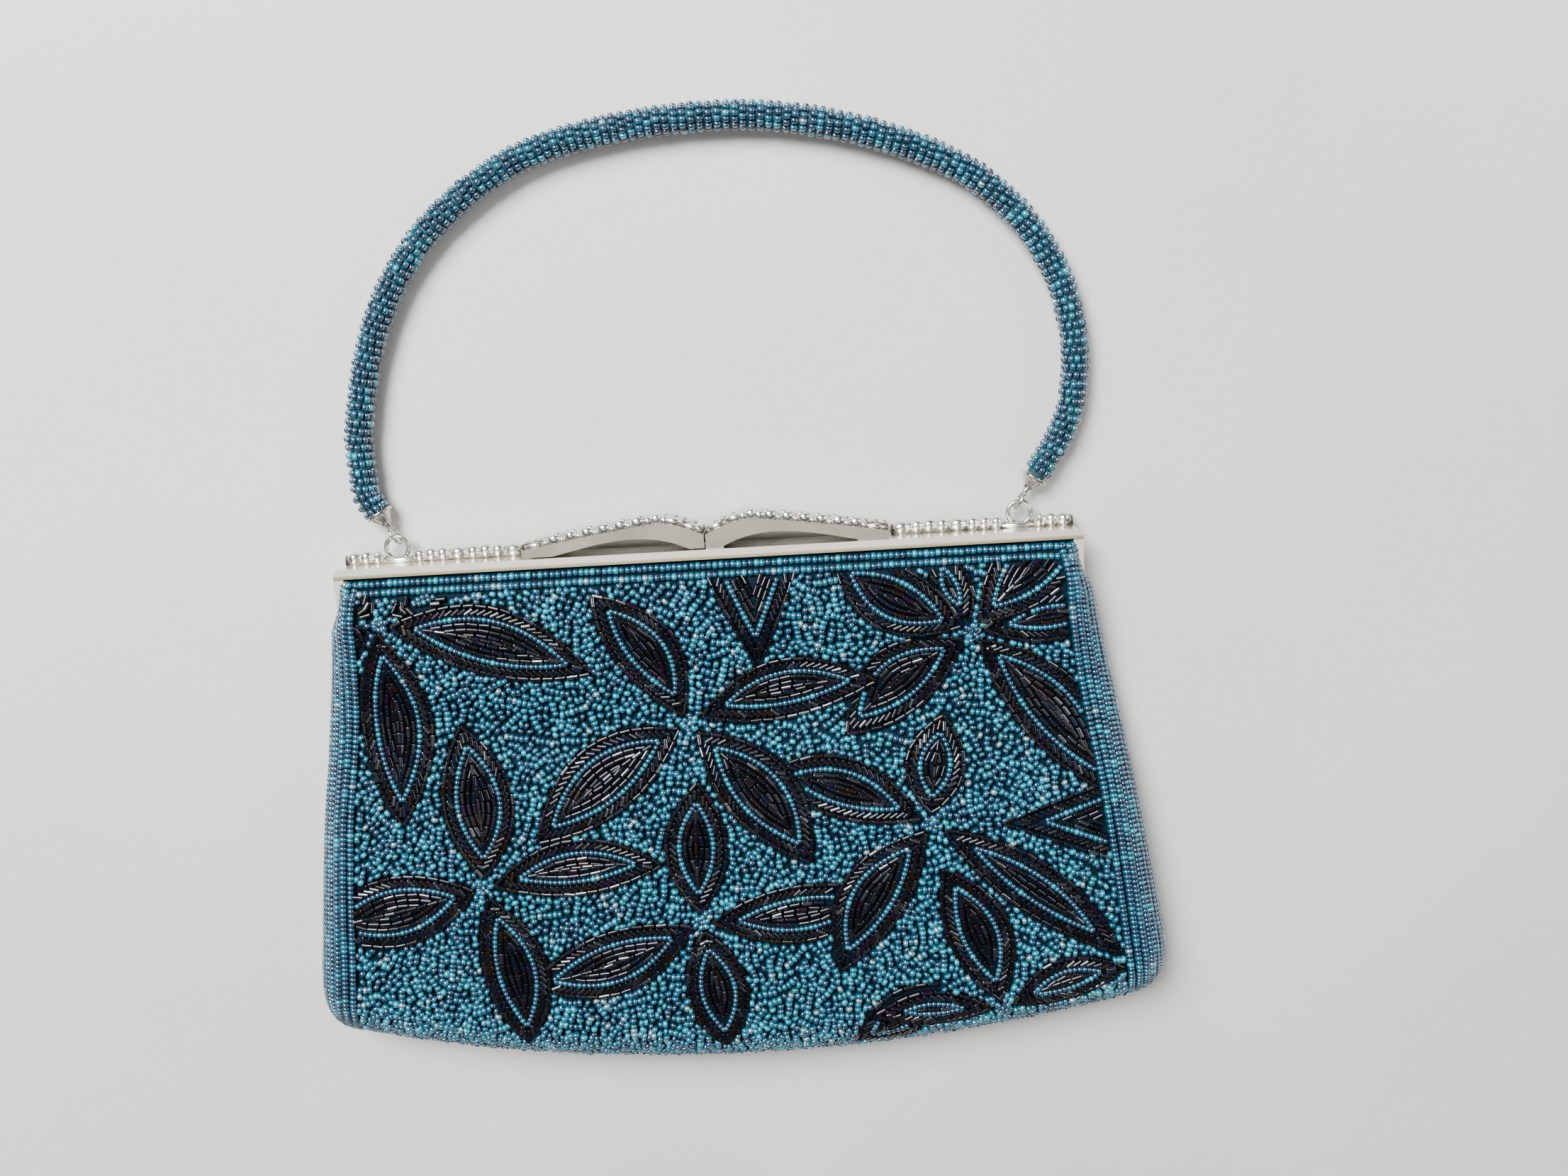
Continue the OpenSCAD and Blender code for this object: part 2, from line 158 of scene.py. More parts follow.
def surface(name, stops, metallic, rough, noise, bump, fine=None, worn=None, specular=0.5, step=None):
    """A node material: noise drives the colour, the roughness and the bump. Scales are per metre.
    A fine grain takes over the bump. Worn darkens the hollows, between two values of pointiness.
    A step paints shade into the colour: it darkens a line across Y, from one place to another, as the shade
    of a rolled edge would."""
    material = bpy.data.materials.new(name)
    material.use_nodes = True
    nodes, link = material.node_tree.nodes, material.node_tree.links.new
    shader = nodes["Principled BSDF"]
    shader.inputs["Metallic"].default_value = metallic
    shader.inputs["Specular IOR Level"].default_value = specular
    where = nodes.new("ShaderNodeTexCoord")
    broad = nodes.new("ShaderNodeTexNoise")
    broad.inputs["Scale"].default_value = noise
    broad.inputs["Detail"].default_value = BROAD_DETAIL
    link(where.outputs["Object"], broad.inputs["Vector"])
    ramp = colour_ramp(nodes, (BROAD_LOW, stops[0]), (BROAD_HIGH, stops[1]))
    link(broad.outputs["Fac"], ramp.inputs["Fac"])
    colour = ramp.outputs["Color"]
    if worn:
        low, high, dark = worn
        geometry = nodes.new("ShaderNodeNewGeometry")
        hollow = colour_ramp(nodes, (low, dark), (high, WHITE))
        link(geometry.outputs["Pointiness"], hollow.inputs["Fac"])
        colour = multiply(nodes, link, colour, hollow.outputs["Color"])
    if step:
        parts = nodes.new("ShaderNodeSeparateXYZ")
        link(where.outputs["Object"], parts.inputs[0])
        across = nodes.new("ShaderNodeMapRange")
        across.inputs["From Min"].default_value = step[0]
        across.inputs["From Max"].default_value = step[1]
        link(parts.outputs["Y"], across.inputs["Value"])
        # Painted shade of the rail's lower edge, multiplied into the colour
        rolled = colour_ramp(nodes, (0.0, WHITE), (1.0, WHITE), PAINTED_EDGE_SHADES)
        link(across.outputs["Result"], rolled.inputs["Fac"])
        colour = multiply(nodes, link, colour, rolled.outputs["Color"])
    link(colour, shader.inputs["Base Color"])
    spread = nodes.new("ShaderNodeMapRange")
    spread.inputs["To Min"].default_value = rough[0]
    spread.inputs["To Max"].default_value = rough[1]
    link(broad.outputs["Fac"], spread.inputs["Value"])
    link(spread.outputs["Result"], shader.inputs["Roughness"])
    relief = broad.outputs["Fac"]
    if fine:
        kind, scale = fine
        grain = nodes.new("ShaderNodeTexNoise" if kind == "noise" else "ShaderNodeTexWave")
        grain.inputs["Scale"].default_value = scale
        if kind == "weave":
            grain.inputs["Distortion"].default_value = WEAVE_DISTORTION
            grain.bands_direction = "DIAGONAL"
        link(where.outputs["Object"], grain.inputs["Vector"])
        relief = grain.outputs["Fac"]
    rise = nodes.new("ShaderNodeBump")
    rise.inputs["Strength"].default_value = BUMP_STRENGTH
    rise.inputs["Distance"].default_value = bump
    link(relief, rise.inputs["Height"])
    link(rise.outputs["Normal"], shader.inputs["Normal"])
    return material


TEAL_IOR, JET_IOR, JET_BRIGHT_IOR = 2.15, 1.4, 1.9
TEAL = [glass("teal_" + word, colour, metallic, rough, 1.0, TEAL_IOR) for word, colour, metallic, rough in (
    ("deep", (0.002, 0.031, 0.070), 0.2, 0.24), ("dark", (0.003, 0.056, 0.108), 0.25, 0.25),
    ("mid", (0.005, 0.093, 0.161), 0.3, 0.26), ("clear", (0.009, 0.152, 0.232), 0.3, 0.27),
    ("green", (0.006, 0.142, 0.172), 0.3, 0.26), ("bright", (0.024, 0.290, 0.395), 0.4, 0.28),
    ("silver", (0.320, 0.520, 0.600), 0.8, 0.26),
)]
# How much of each glass: in the ground, in the straight rows and petal lines, and in the bugles
TEAL_SHARE = [0.15, 0.21, 0.24, 0.19, 0.07, 0.10, 0.04]
DEEP_SHARE = [0.42, 0.28, 0.16, 0.08, 0.03, 0.02, 0.01]
JET = [
    glass("jet", (0.002, 0.002, 0.003), 0.0, 0.11, 0.3, JET_IOR),
    glass("jet_blue", (0.002, 0.004, 0.010), 0.1, 0.11, 0.3, JET_IOR),
    glass("jet_violet", (0.008, 0.002, 0.010), 0.2, 0.12, 0.3, JET_IOR),
    glass("jet_bronze", (0.009, 0.004, 0.002), 0.2, 0.12, 0.3, JET_IOR),
    glass("jet_worn", (0.005, 0.005, 0.007), 0.0, 0.24, 0.1, JET_IOR),
    glass("jet_bright", (0.006, 0.007, 0.012), 0.3, 0.09, 0.9, JET_BRIGHT_IOR),
]
JET_SHARE = [0.46, 0.19, 0.08, 0.04, 0.11, 0.12]

# Where the painted shade of the rail's lower edge lies, along Y in metres
RAIL_SHADE_BAND = (0.0662, 0.0675)
silver = surface("silver", [(0.84, 0.80, 0.71), (0.95, 0.92, 0.83)], 1, (0.22, 0.34), 45, 0.00022,
                 worn=(0.44, 0.52, (0.45, 0.42, 0.35)), step=RAIL_SHADE_BAND)
# The frame's silver made darker for the wings: the darkness is painted shade that keeps their faces dimmer
# than the rail
shaded_wing_silver = surface("shaded_wing_silver", [(0.32, 0.31, 0.26), (0.48, 0.46, 0.39)], 1, (0.22, 0.34), 60, 0.00025,
                      worn=(0.44, 0.52, (0.45, 0.42, 0.35)))
cast = surface("cast_silver", [(0.78, 0.75, 0.68), (0.96, 0.94, 0.88)], 1, (0.16, 0.32), 500, 0.00005,
               fine=("noise", 3000), worn=(0.46, 0.53, (0.30, 0.27, 0.22)))
# The bed behind the cast lumps: tarnish, and painted shade for the recesses between the lumps
bed_oxide_and_shade = surface("oxide_and_shade_silver", [(0.13, 0.115, 0.09), (0.30, 0.27, 0.21)], 1, (0.4, 0.6), 600, 0.00005,
                  fine=("noise", 2500))
ring_metal = surface("ring_silver", [(0.42, 0.40, 0.37), (0.66, 0.63, 0.59)], 1, (0.13, 0.28), 400, 0.00002,
                     fine=("noise", 2500))
rivet_metal = surface("rivet_silver", [(0.50, 0.48, 0.44), (0.72, 0.70, 0.66)], 1, (0.28, 0.5), 500, 0.00003,
                      fine=("noise", 3000))
backing = surface("backing_cloth", [(0.001, 0.005, 0.010), (0.002, 0.012, 0.020)], 0, (0.75, 0.9), 260,
                  0.00008, fine=("weave", 900), specular=0.1)
satin = surface("satin", [(0.010, 0.060, 0.075), (0.020, 0.100, 0.120)], 0, (0.26, 0.42), 60, 0.00005,
                fine=("weave", 1300))
rope = surface("rope_thread", [(0.006, 0.045, 0.060), (0.012, 0.085, 0.105)], 0, (0.5, 0.7), 900, 0.0001,
               fine=("weave", 700))
kraft = surface("kraft_cord", [(0.36, 0.25, 0.14), (0.52, 0.38, 0.22)], 0, (0.7, 0.9), 500, 0.0001,
                fine=("weave", 600))
paper = surface("pale_floor", [(0.63, 0.60, 0.57), (0.68, 0.65, 0.62)], 0, (0.55, 0.7), 9, 0.0002,
                fine=("noise", 500))

# ---- meshes


def link_mesh(name, co, loops, starts, materials, indices=None, smooth=True):
    """An object from flat arrays: corners in millimetres, the corner numbers of every face in a row,
    where each face starts, and the number of each face's material."""
    mesh = bpy.data.meshes.new(name)
    mesh.vertices.add(len(co))
    mesh.vertices.foreach_set("co", (np.asarray(co, np.float64) * MM).astype(np.float32).ravel())
    mesh.loops.add(len(loops))
    mesh.loops.foreach_set("vertex_index", np.asarray(loops, np.int32))
    mesh.polygons.add(len(starts))
    mesh.polygons.foreach_set("loop_start", np.asarray(starts, np.int32))
    for m in materials:
        mesh.materials.append(m)
    if indices is not None:
        mesh.polygons.foreach_set("material_index", np.asarray(indices, np.int32))
    mesh.polygons.foreach_set("use_smooth", np.full(len(starts), smooth))
    mesh.update(calc_edges=True)
    mesh.validate()
    obj = bpy.data.objects.new(name, mesh)
    bpy.context.scene.collection.objects.link(obj)
    return obj


def grid_faces(rows, cols, first=0, closed=False):
    """Quads of a grid whose corners run along each row."""
    across = cols if closed else cols - 1
    j, i = np.meshgrid(np.arange(rows - 1), np.arange(across), indexing="ij")
    k = (i + 1) % cols
    corners = [j * cols + i, j * cols + k, (j + 1) * cols + k, (j + 1) * cols + i]
    return first + np.stack(corners, -1).reshape(-1, 4)


def quad_mesh(name, co, quads, material, smooth=True):
    quads = np.asarray(quads)
    return link_mesh(name, co, quads.ravel(), np.arange(len(quads)) * 4, [material], None, smooth)


# Profiles of the beads: how far along half the length, and how much of the radius
SEED = [(-0.92, 0.34), (-1.0, 0.66), (-0.58, 0.95), (0.0, 1.0), (0.58, 0.95), (1.0, 0.66), (0.92, 0.34)]
BUGLE = [
    (-0.96, 0.42), (-1.0, 0.86), (-0.95, 1.0), (-0.84, 1.0),
    (0.84, 1.0), (0.95, 1.0), (1.0, 0.86), (0.96, 0.42),
]
BEAD_SIDES, BEADS_PER_PIECE = 8, 1500


class Beads:
    """Beads of one kind, gathered as rows of numbers and then built as a few meshes. A row holds
    the centre, the axis, the outward direction, the length, the radius and the number of the glass."""

    def __init__(self, profile, glasses):
        self.profile, self.glasses = profile, glasses
        self.rows = []

    def add(self, centre, axis, up, length, radius, kinds):
        """Arrays of n beads. One length or radius may serve them all."""
        n = len(centre)
        if n:
            self.rows.append(np.column_stack([
                centre, axis, up, np.broadcast_to(length, n), np.broadcast_to(radius, n), kinds]))

    def build(self, name, data):
        """Meshes of these rows, in order of their height on the bag."""
        made = []
        data = data[np.argsort(-data[:, 1], kind="stable")]
        count = max(1, math.ceil(len(data) / BEADS_PER_PIECE))
        for k, part in enumerate(np.array_split(data, count)):
            made.append(self.mesh(f"{name}_{k + 1}", part))
        return made

    def mesh(self, name, d):
        n, sides = len(d), BEAD_SIDES
        along = np.repeat([p[0] for p in self.profile], sides)
        out = np.repeat([p[1] for p in self.profile], sides)
        angle = np.tile(2 * np.pi * (np.arange(sides) + 0.5) / sides, len(self.profile))
        axis = d[:, 3:6]
        axis = axis / np.linalg.norm(axis, axis=1, keepdims=True)
        up = d[:, 6:9] - axis * np.sum(axis * d[:, 6:9], axis=1, keepdims=True)
        up = up / np.linalg.norm(up, axis=1, keepdims=True)
        side = np.cross(up, axis)
        half, radius = d[:, 9, None, None] / 2, d[:, 10, None, None]
        co = (
            d[:, None, 0:3]
            + axis[:, None] * along[None, :, None] * half
            + side[:, None] * (out * np.cos(angle))[None, :, None] * radius
            + up[:, None] * (out * np.sin(angle))[None, :, None] * radius
        ).reshape(-1, 3)
        rings = len(self.profile)
        quads = grid_faces(rings, sides, closed=True)[:, ::-1]
        rim = np.arange(sides)
        one = np.concatenate([quads.ravel(), rim, (rings - 1) * sides + rim[::-1]])
        starts = np.concatenate([np.arange(len(quads)) * 4, len(quads) * 4 + np.array([0, sides])])
        each = rings * sides
        loops = (one[None] + each * np.arange(n)[:, None]).ravel()
        all_starts = (starts[None] + len(one) * np.arange(n)[:, None]).ravel()
        index = np.repeat(d[:, 11].astype(int), len(starts))
        return link_mesh(name, co, loops, all_starts, self.glasses, index)


def pick(share, n):
    """Numbers of the glass for n beads."""
    return rng.choice(len(share), n, p=share)


# ---- shape of the pouch

# Distances in millimetres. s is how far below the lip of the frame a point is, x is from the middle.
BODY_H, TOP_W, FLARE, BULGE, CORNER = 133.0, 92.5, 0.165, 16.6, 12.0
LEG_W, LEG_FLARE, LEG_END, LEG_RUN = 90.1, 0.05, 4, 10
LIP_Y = BODY_H / 2
SEAM_Z, FRONT_FACE, BELLY_T = 5.0, 11.55, 19.0
ROLL_S, SAG, SAG_WAVE = 90.0, 4.0, 56.0
FRONT_ROLL, SIDE_ROLL, TOP_ROLL, BACK_ROLL = 13.0, 9.0, 2.2, 5.0
HOLLOW, RIDGE, LEG_SWELL = 1.7, 0.9, 1.7
EDGE_LIFT, SEAM_GAP, BACK_TUCK = 4.6, 0.05, 1.9
SLIP_RIGHT, SLIP_LEFT = 1.7, 0.9
joints = {j["name"]: j for j in frame["joints"]}
HINGE_Y = joints["frame_hinge"]["pos_m"][1] / MM
BEAD_R = 1.03


def ease(t):
    """From 0 to 1 as t does, starting and ending gently."""
    u = np.clip(t, 0, 1)
    return u * u * (3 - 2 * u)


def hill(v, middle, spread):
    """A smooth rise to 1 at the middle and back to 0."""
    return np.exp(-((v - middle) / spread) ** 2)


def belly(s):
    """Height of the front's middle over the table."""
    wave = SAG * np.sin(2 * np.pi * s / SAG_WAVE) * np.maximum(0, 1 - s / (1.25 * SAG_WAVE))
    return FRONT_FACE + (BELLY_T - FRONT_FACE) * ease(s / ROLL_S) + wave


def width(s):
    """Half width: held inside the frame's legs at the top, then swelling out over them."""
    free = TOP_W + FLARE * s
    return free + (LEG_W + LEG_FLARE * s - free) * (1 - ease((s - LEG_END) / LEG_RUN))


def bottom(a):
    """Where the pouch ends, as s, at a share of its half width: a shallow curve with round corners."""
    start = 1 - CORNER / (TOP_W + FLARE * BODY_H)
    c = np.clip((np.abs(a) - start) / (1 - start), 0, 1)
    return BODY_H - BULGE * 0.9 * a * a - CORNER * (1 - np.sqrt(np.maximum(0, 1 - c * c)))


def roll(d, r):
    """Share of the full height at a distance d in from an edge that is rolled to a radius r."""
    return np.sqrt(1 - (1 - np.clip(d / r, 0, 1)) ** 2)


def folds(x, s):
    """Soft folds of the slack front on top of its swell, and its swelling over the frame's legs."""
    low = HOLLOW * hill(s, 40, 7) * (hill(x, 20, 32) + 0.6 * hill(x, -48, 24))
    high = RIDGE * hill(s, 60, 9) * hill(x, 12, 40)
    over_legs = LEG_SWELL * ease((s - 1) / 4) * (1 - ease((s - 8) / 8)) * hill(np.abs(x), 89, 4)
    return high - low + over_legs


def front_z(x, s, inset=0.0):
    """Height of the front face."""
    rim = SEAM_Z + EDGE_LIFT * (1 - ease((s - LEG_END) / LEG_RUN))
    a = np.clip(np.abs(x) / width(s), 0, 1)
    side_roll = TOP_ROLL + (SIDE_ROLL - TOP_ROLL) * ease(s / 22)
    shape = roll(width(s) - inset - np.abs(x), side_roll) * roll(bottom(a) - inset - s, FRONT_ROLL)
    return rim + SEAM_GAP + shape * (belly(s) + folds(x, s) - inset - rim)


def back_z(x, s, inset=0.0):
    """Height of the back face, which lies on the table."""
    a = np.clip(np.abs(x) / width(s), 0, 1)
    shape = roll(width(s) - inset - np.abs(x), BACK_ROLL) * roll(bottom(a) - inset - s, BACK_ROLL)
    tuck = BACK_TUCK * (1 - ease(s / 9))
    return SEAM_Z - SEAM_GAP - shape * (SEAM_Z - inset - tuck)


def skew(x, s):
    """How far the worn pouch has slipped sideways: its right side hangs further out than its left."""
    right = SLIP_RIGHT * ease((s - 15) / 60) * np.clip(x / 100, 0, 1.2) ** 2
    return right + SLIP_LEFT * ease((s - 55) / 50) * np.clip(-x / 100, 0, 1.2) ** 2


SLOPE_STEP, WAY_STEP = 0.12, 0.1


def place(face, x, s, depth):
    """Points depth below a face, and the face's outward directions there."""
    x, s = np.asarray(x, float), np.asarray(s, float)
    dx = (face(x + SLOPE_STEP, s) - face(x - SLOPE_STEP, s)) / (2 * SLOPE_STEP)
    ds = (face(x, s + SLOPE_STEP) - face(x, s - SLOPE_STEP)) / (2 * SLOPE_STEP)
    sign = 1.0 if face is front_z else -1.0
    up = np.stack([-dx * sign, ds * sign, np.full_like(x, sign)], -1)
    up /= np.linalg.norm(up, axis=-1, keepdims=True)
    at = np.stack([x + skew(x, s), LIP_Y - s, face(x, s)], -1) - up * np.asarray(depth)[..., None]
    return at, up


def heading(face, x, s, angle, up):
    """Unit directions on a face that point at the angle, measured from +X towards the handle."""
    ux, us = np.cos(angle), -np.sin(angle)
    ahead = face(x + WAY_STEP * ux, s + WAY_STEP * us)
    behind = face(x - WAY_STEP * ux, s - WAY_STEP * us)
    rise = (ahead - behind) / (2 * WAY_STEP)
    way = np.stack([ux, -us, rise], -1)
    way -= up * np.sum(way * up, axis=-1, keepdims=True)
    return way / np.linalg.norm(way, axis=-1, keepdims=True)


# ---- layout of the beadwork


BORDER_W, BORDER_FLARE = 84.5, 0.118


def border(s):
    """Where the straight side columns begin, as a distance from the middle."""
    return BORDER_W + BORDER_FLARE * s


PAST_BULGE = 200
A_SAMPLES = np.linspace(0, 1, 500)
OUT_S = bottom(A_SAMPLES)
OUT_X = A_SAMPLES * width(OUT_S)


def outline_x(s):
    """Half width of the pouch's outline at s, its rounded corners included."""
    corner = np.interp(-s, -OUT_S[PAST_BULGE:], OUT_X[PAST_BULGE:])
    return np.where(s < OUT_S[-1], width(s), corner)


def bottom_at(x):
    """Where the pouch ends, as s, at a distance from the middle."""
    return np.interp(np.abs(x), OUT_X, OUT_S)


# A petal: where it starts and ends, half its width, and how far its middle line bows to its left
PETALS = [
    ((-79, -11.5), (-29, -27.5), 9.3, 2.5), ((-81, -12), (-79.5, -63), 9.2, 0.8),
    ((-78, -9), (-60, -3), 4.6, 0.5), ((-82, -12), (-98, -18), 5.6, 0.0),
    ((-81, -9), (-90, -1), 4.4, 0.0), ((-8, -40), (-29, -6), 8.3, -3.0),
    ((-5, -40), (41, -33), 8.0, 3.2), ((-8.5, -41.5), (-47, -69), 9.2, -2.5),
    ((-6, -42.5), (21.5, -77.5), 9.3, 2.8), ((62, -20), (30, -1), 8.6, 1.8),
    ((63, -19.5), (55, 1), 5.6, 0.6), ((64.5, -19.5), (94, 5), 8.8, 1.8),
    ((65, -21), (100, -17), 6.6, 0.6), ((62, -22.5), (31, -46), 9.0, -2.2),
    ((64, -22.5), (97, -65), 9.0, 2.6), ((51, -66.5), (56, -41), 7.6, 0.8),
    ((49.5, -67.5), (10, -53), 8.0, -2.4), ((50.5, -69.5), (27, -107), 8.8, -3.4),
    ((52.5, -69), (97, -106), 7.0, 1.5), ((-61, -77.5), (-64.5, -37.5), 9.3, -2.4),
    ((-59.5, -79), (-14.5, -75.5), 7.6, 2.4), ((-62.5, -79.5), (-106, -88), 9.6, 0.6),
    ((-60.5, -80.5), (-54, -124), 8.6, 2.2), ((-7, -89.5), (-5.5, -53.5), 8.2, 0.8),
    ((-5.5, -91), (41, -85.5), 8.0, -1.8), ((-8.5, -91.5), (-53, -106), 8.8, 2.4),
    ((-7, -92.5), (-3, -127), 8.2, 0.9), ((66.5, -117.5), (53, -79), 8.2, -2.0),
    ((65.5, -119), (34, -119), 5.4, -1.2), ((68.5, -118.5), (98, -109), 6.4, 2.2),
    ((52, -110), (29, -128), 7.4, 1.2),
]
# Half petals that stand open against the border: the tip, and the two ends
WEDGES = [((11, -29), (0.5, -4.5), (21, -4.5)), ((68, -69), (93, -60), (93, -79))]
CENTRES = [(-80, -11), (-7, -41), (63, -21), (51, -68), (-61, -79), (-7, -91), (67, -119)]
FIELD_TOP, FIELD_BOTTOM, CENTRE_CLEAR = 4.5, 3, 2.3


def petal_axes(petal):
    """Start, unit direction, length, half width and bow of a petal."""
    (x0, y0), (x1, y1), half, bow = petal
    length = math.hypot(x1 - x0, y1 - y0)
    ux, uy = (x1 - x0) / length, (y1 - y0) / length
    return x0, y0, ux, uy, length, half, bow


def petal_point(petal, t, v):
    """Points a share t along a petal, v to the left of its bowed middle line."""
    x0, y0, ux, uy, length, _, bow = petal_axes(petal)
    v = v + bow * 4 * t * (1 - t)
    return x0 + t * length * ux - v * uy, y0 + t * length * uy + v * ux


def inset_half(petal, t, inset):
    """Half width of a petal at t, once its edge is moved in by the inset."""
    _, _, _, _, length, half, _ = petal_axes(petal)
    return half * 4 * t * (1 - t) - inset * np.sqrt(1 + (4 * half * (1 - 2 * t) / length) ** 2)


def petal_inside(petal, x, y, grow):
    """Which points lie inside a petal whose edge is moved out by grow."""
    x0, y0, ux, uy, length, _, bow = petal_axes(petal)
    t = ((x - x0) * ux + (y - y0) * uy) / length
    v = -(x - x0) * uy + (y - y0) * ux - bow * 4 * t * (1 - t)
    return (t > 0) & (t < 1) & (np.abs(v) < inset_half(petal, t, -grow))


LOOK = 0.3


def petal_row(petal, side, inset, pitch, start=0.0):
    """Points and directions at a pitch along one side of a petal, an inset in from its edge."""
    t = np.linspace(0.001, 0.999, 400)
    w = inset_half(petal, t, inset)
    t, w = t[w > 0], w[w > 0]
    if len(t) < 4:
        return np.zeros((0, 3))
    x, y = petal_point(petal, t, side * w)
    arc = np.concatenate([[0], np.cumsum(np.hypot(np.diff(x), np.diff(y)))])
    if arc[-1] < pitch:
        return np.zeros((0, 3))
    n = max(1, round((arc[-1] - start) / pitch))
    at = start + (np.arange(n) + 0.5) * (arc[-1] - start) / n
    px, py = np.interp(at, arc, x), np.interp(at, arc, y)
    qx, qy = np.interp(at + LOOK, arc, x), np.interp(at + LOOK, arc, y)
    rx, ry = np.interp(at - LOOK, arc, x), np.interp(at - LOOK, arc, y)
    return np.column_stack([px, py, np.arctan2(qy - ry, qx - rx)])


def in_panel(x, y):
    """Which points lie on the panel between the borders, clear of the flowers' centres."""
    s = -y
    clear = np.ones(len(x), bool)
    for cx, cy in CENTRES:
        clear &= np.hypot(x - cx, y - cy) > CENTRE_CLEAR
    within = (np.abs(x) < border(s) - 0.25) & (s > FIELD_TOP + 0.1)
    return clear & within & (s < bottom_at(x) - FIELD_BOTTOM)


# Rows of a half petal, from its edge in: inset, kind, length, radius and pitch
WEDGE_ROWS = [
    (0.0, "jet", 2.85, 0.64, 3.05), (1.7, "slant", 2.45, 0.66, 1.65), (3.6, "teal", 1.2, 0.84, 1.2),
    (5.0, "jet", 2.7, 0.64, 2.9), (6.3, "jet", 2.7, 0.64, 2.9), (7.6, "jet", 2.7, 0.64, 2.9),
    (8.9, "jet", 2.7, 0.64, 2.9),
]
SLANT, WEDGE_SLANT, OVERLAP = 0.62, 0.6, 0.35
CENTRE_BEADS, CENTRE_R = 6, 1.45


def elements(row, length, radius, lift):
    """Rows of (x, y, angle) with the size and lift that their beads share."""
    n = len(row)
    return np.column_stack([row, np.full(n, length), np.full(n, radius), np.full(n, lift)])


def petal_rows(petal):
    """The rows of a petal: their kind, points, length, radius and lift."""
    half = petal[2]
    rows = []
    for side in (-1, 1):
        rows.append(("jet", petal_row(petal, side, 0.72, 3.0), 2.8, 0.71, 0.0))
        slant = petal_row(petal, side, 2.25, 1.62)
        slant[:, 2] += side * SLANT
        rows.append(("jet", slant, 2.5, 0.70, 0.15))
        rows.append(("teal", petal_row(petal, side, 3.95, 1.2), 1.2, 0.84, 0.0))
        for inset in np.arange(5.4, half - 0.3, 1.42):
            rows.append(("jet", petal_row(petal, side, inset, 2.9, 0.7), 2.75, 0.70, 0.05))
    if half > 5.2:
        rows.append(("jet", petal_row(petal, 0, 4.9, 2.9), 2.7, 0.64, 0.3))
    return rows


def wedge_rows(wedge):
    """The rows of a half petal, as petal_rows gives them: parallel to each edge, as far as its middle."""
    tip, left, right = (np.array(p, float) for p in wedge)
    middle = (left + right) / 2 - tip
    middle /= np.linalg.norm(middle)
    across = np.array([-middle[1], middle[0]])
    rows = []
    for end in (left, right):
        way = end - tip
        span = np.linalg.norm(way)
        way /= span
        inner = np.array([-way[1], way[0]])
        if np.dot(inner, middle) < 0:
            inner = -inner
        half_angle = math.acos(np.clip(np.dot(way, middle), -1, 1))
        for inset, kind, length, radius, pitch in WEDGE_ROWS:
            first = inset / math.tan(half_angle) + 0.4
            at = np.arange(first + pitch / 2, span + 1, pitch)
            p = tip + at[:, None] * way + inset * inner
            angle = np.full(len(at), math.atan2(way[1], way[0]))
            if kind == "slant":
                angle += WEDGE_SLANT * np.sign(way[0] * inner[1] - way[1] * inner[0])
            own = np.sign((p - tip) @ across) == np.sign(np.dot(end - tip, across))
            rows.append((kind, np.column_stack([p, angle])[own], length, radius, 0.0))
    return rows


def motif():
    """Elements of the whole pattern in plan: (x, y, angle, length, radius, lift), of jet and of teal."""
    jets, seeds, done = [], [], []

    def lay(rows, under=()):
        for kind, row, length, radius, lift in rows:
            if not len(row):
                continue
            keep = in_panel(row[:, 0], row[:, 1])
            for petal in under:
                keep &= ~petal_inside(petal, row[:, 0], row[:, 1], OVERLAP)
            (seeds if kind == "teal" else jets).append(elements(row[keep], length, radius, lift))

    for petal in PETALS:
        lay(petal_rows(petal), done)
        done.append(petal)
    for cx, cy in CENTRES:
        q = 2 * np.pi * np.arange(CENTRE_BEADS) / CENTRE_BEADS + 0.3
        row = np.column_stack([cx + CENTRE_R * np.cos(q), cy + CENTRE_R * np.sin(q), q + np.pi / 2])
        seeds.append(elements(np.concatenate([row, [[cx, cy, 0.4]]]), 1.2, 0.86, 0.15))
    for wedge in WEDGES:
        lay(wedge_rows(wedge))
    return np.concatenate(jets), np.concatenate(seeds)


def wedge_inside(wedge, x, y):
    """Which points lie inside a half petal's triangle."""
    a, b, c = wedge

    def side(p, q):
        return (q[0] - p[0]) * (y - p[1]) - (q[1] - p[1]) * (x - p[0])

    d1, d2, d3 = side(a, b), side(b, c), side(c, a)
    return ((d1 > 0) & (d2 > 0) & (d3 > 0)) | ((d1 < 0) & (d2 < 0) & (d3 < 0))


HALF_X, DEEP = 101.0, 152.0
CELL, X_STEP, RUN_STEP = 0.1, 0.5, 0.25
TURNS, PRINT_REACH, PRINT_LENGTH, PRINT_WIDTH = 36, 1.6, 1.2, 2.0
CHAIN_PITCH, CHAIN_BEND, QUICK_SHARE = 1.27, 0.5, 0.35
# Rounds of sewing: tries, share of a bead's cells that may be taken, beads in a chain, lift
ROUNDS = ((26000, 0.0, 5, 0.0), (34000, 0.03, 1, 0.0), (34000, 0.12, 1, 0.1), (30000, 0.24, 1, 0.22))


def arc_length(*parts):
    """Length along a line, from its start to each of its points."""
    steps = np.sqrt(sum(np.diff(p) ** 2 for p in parts))
    return np.concatenate([[0], np.cumsum(steps)])


def unrolled(face):
    """For columns of x, the distance s below the lip at every step of length along the face."""
    xs = np.arange(-HALF_X, HALF_X + 0.01, X_STEP)
    lengths = np.arange(0, DEEP, RUN_STEP)
    table = np.full((len(xs), len(lengths)), np.nan)
    for k, x in enumerate(xs):
        end = bottom_at(x) - 0.15
        s = end * np.sin(np.linspace(0, np.pi / 2, 260))
        z = face(np.full_like(s, x), s)
        arc = np.concatenate([[0], np.cumsum(np.hypot(np.diff(s), np.diff(z)))])
        valid = lengths <= arc[-1]
        table[k, valid] = np.interp(lengths[valid], arc, s)
    return xs, lengths, table


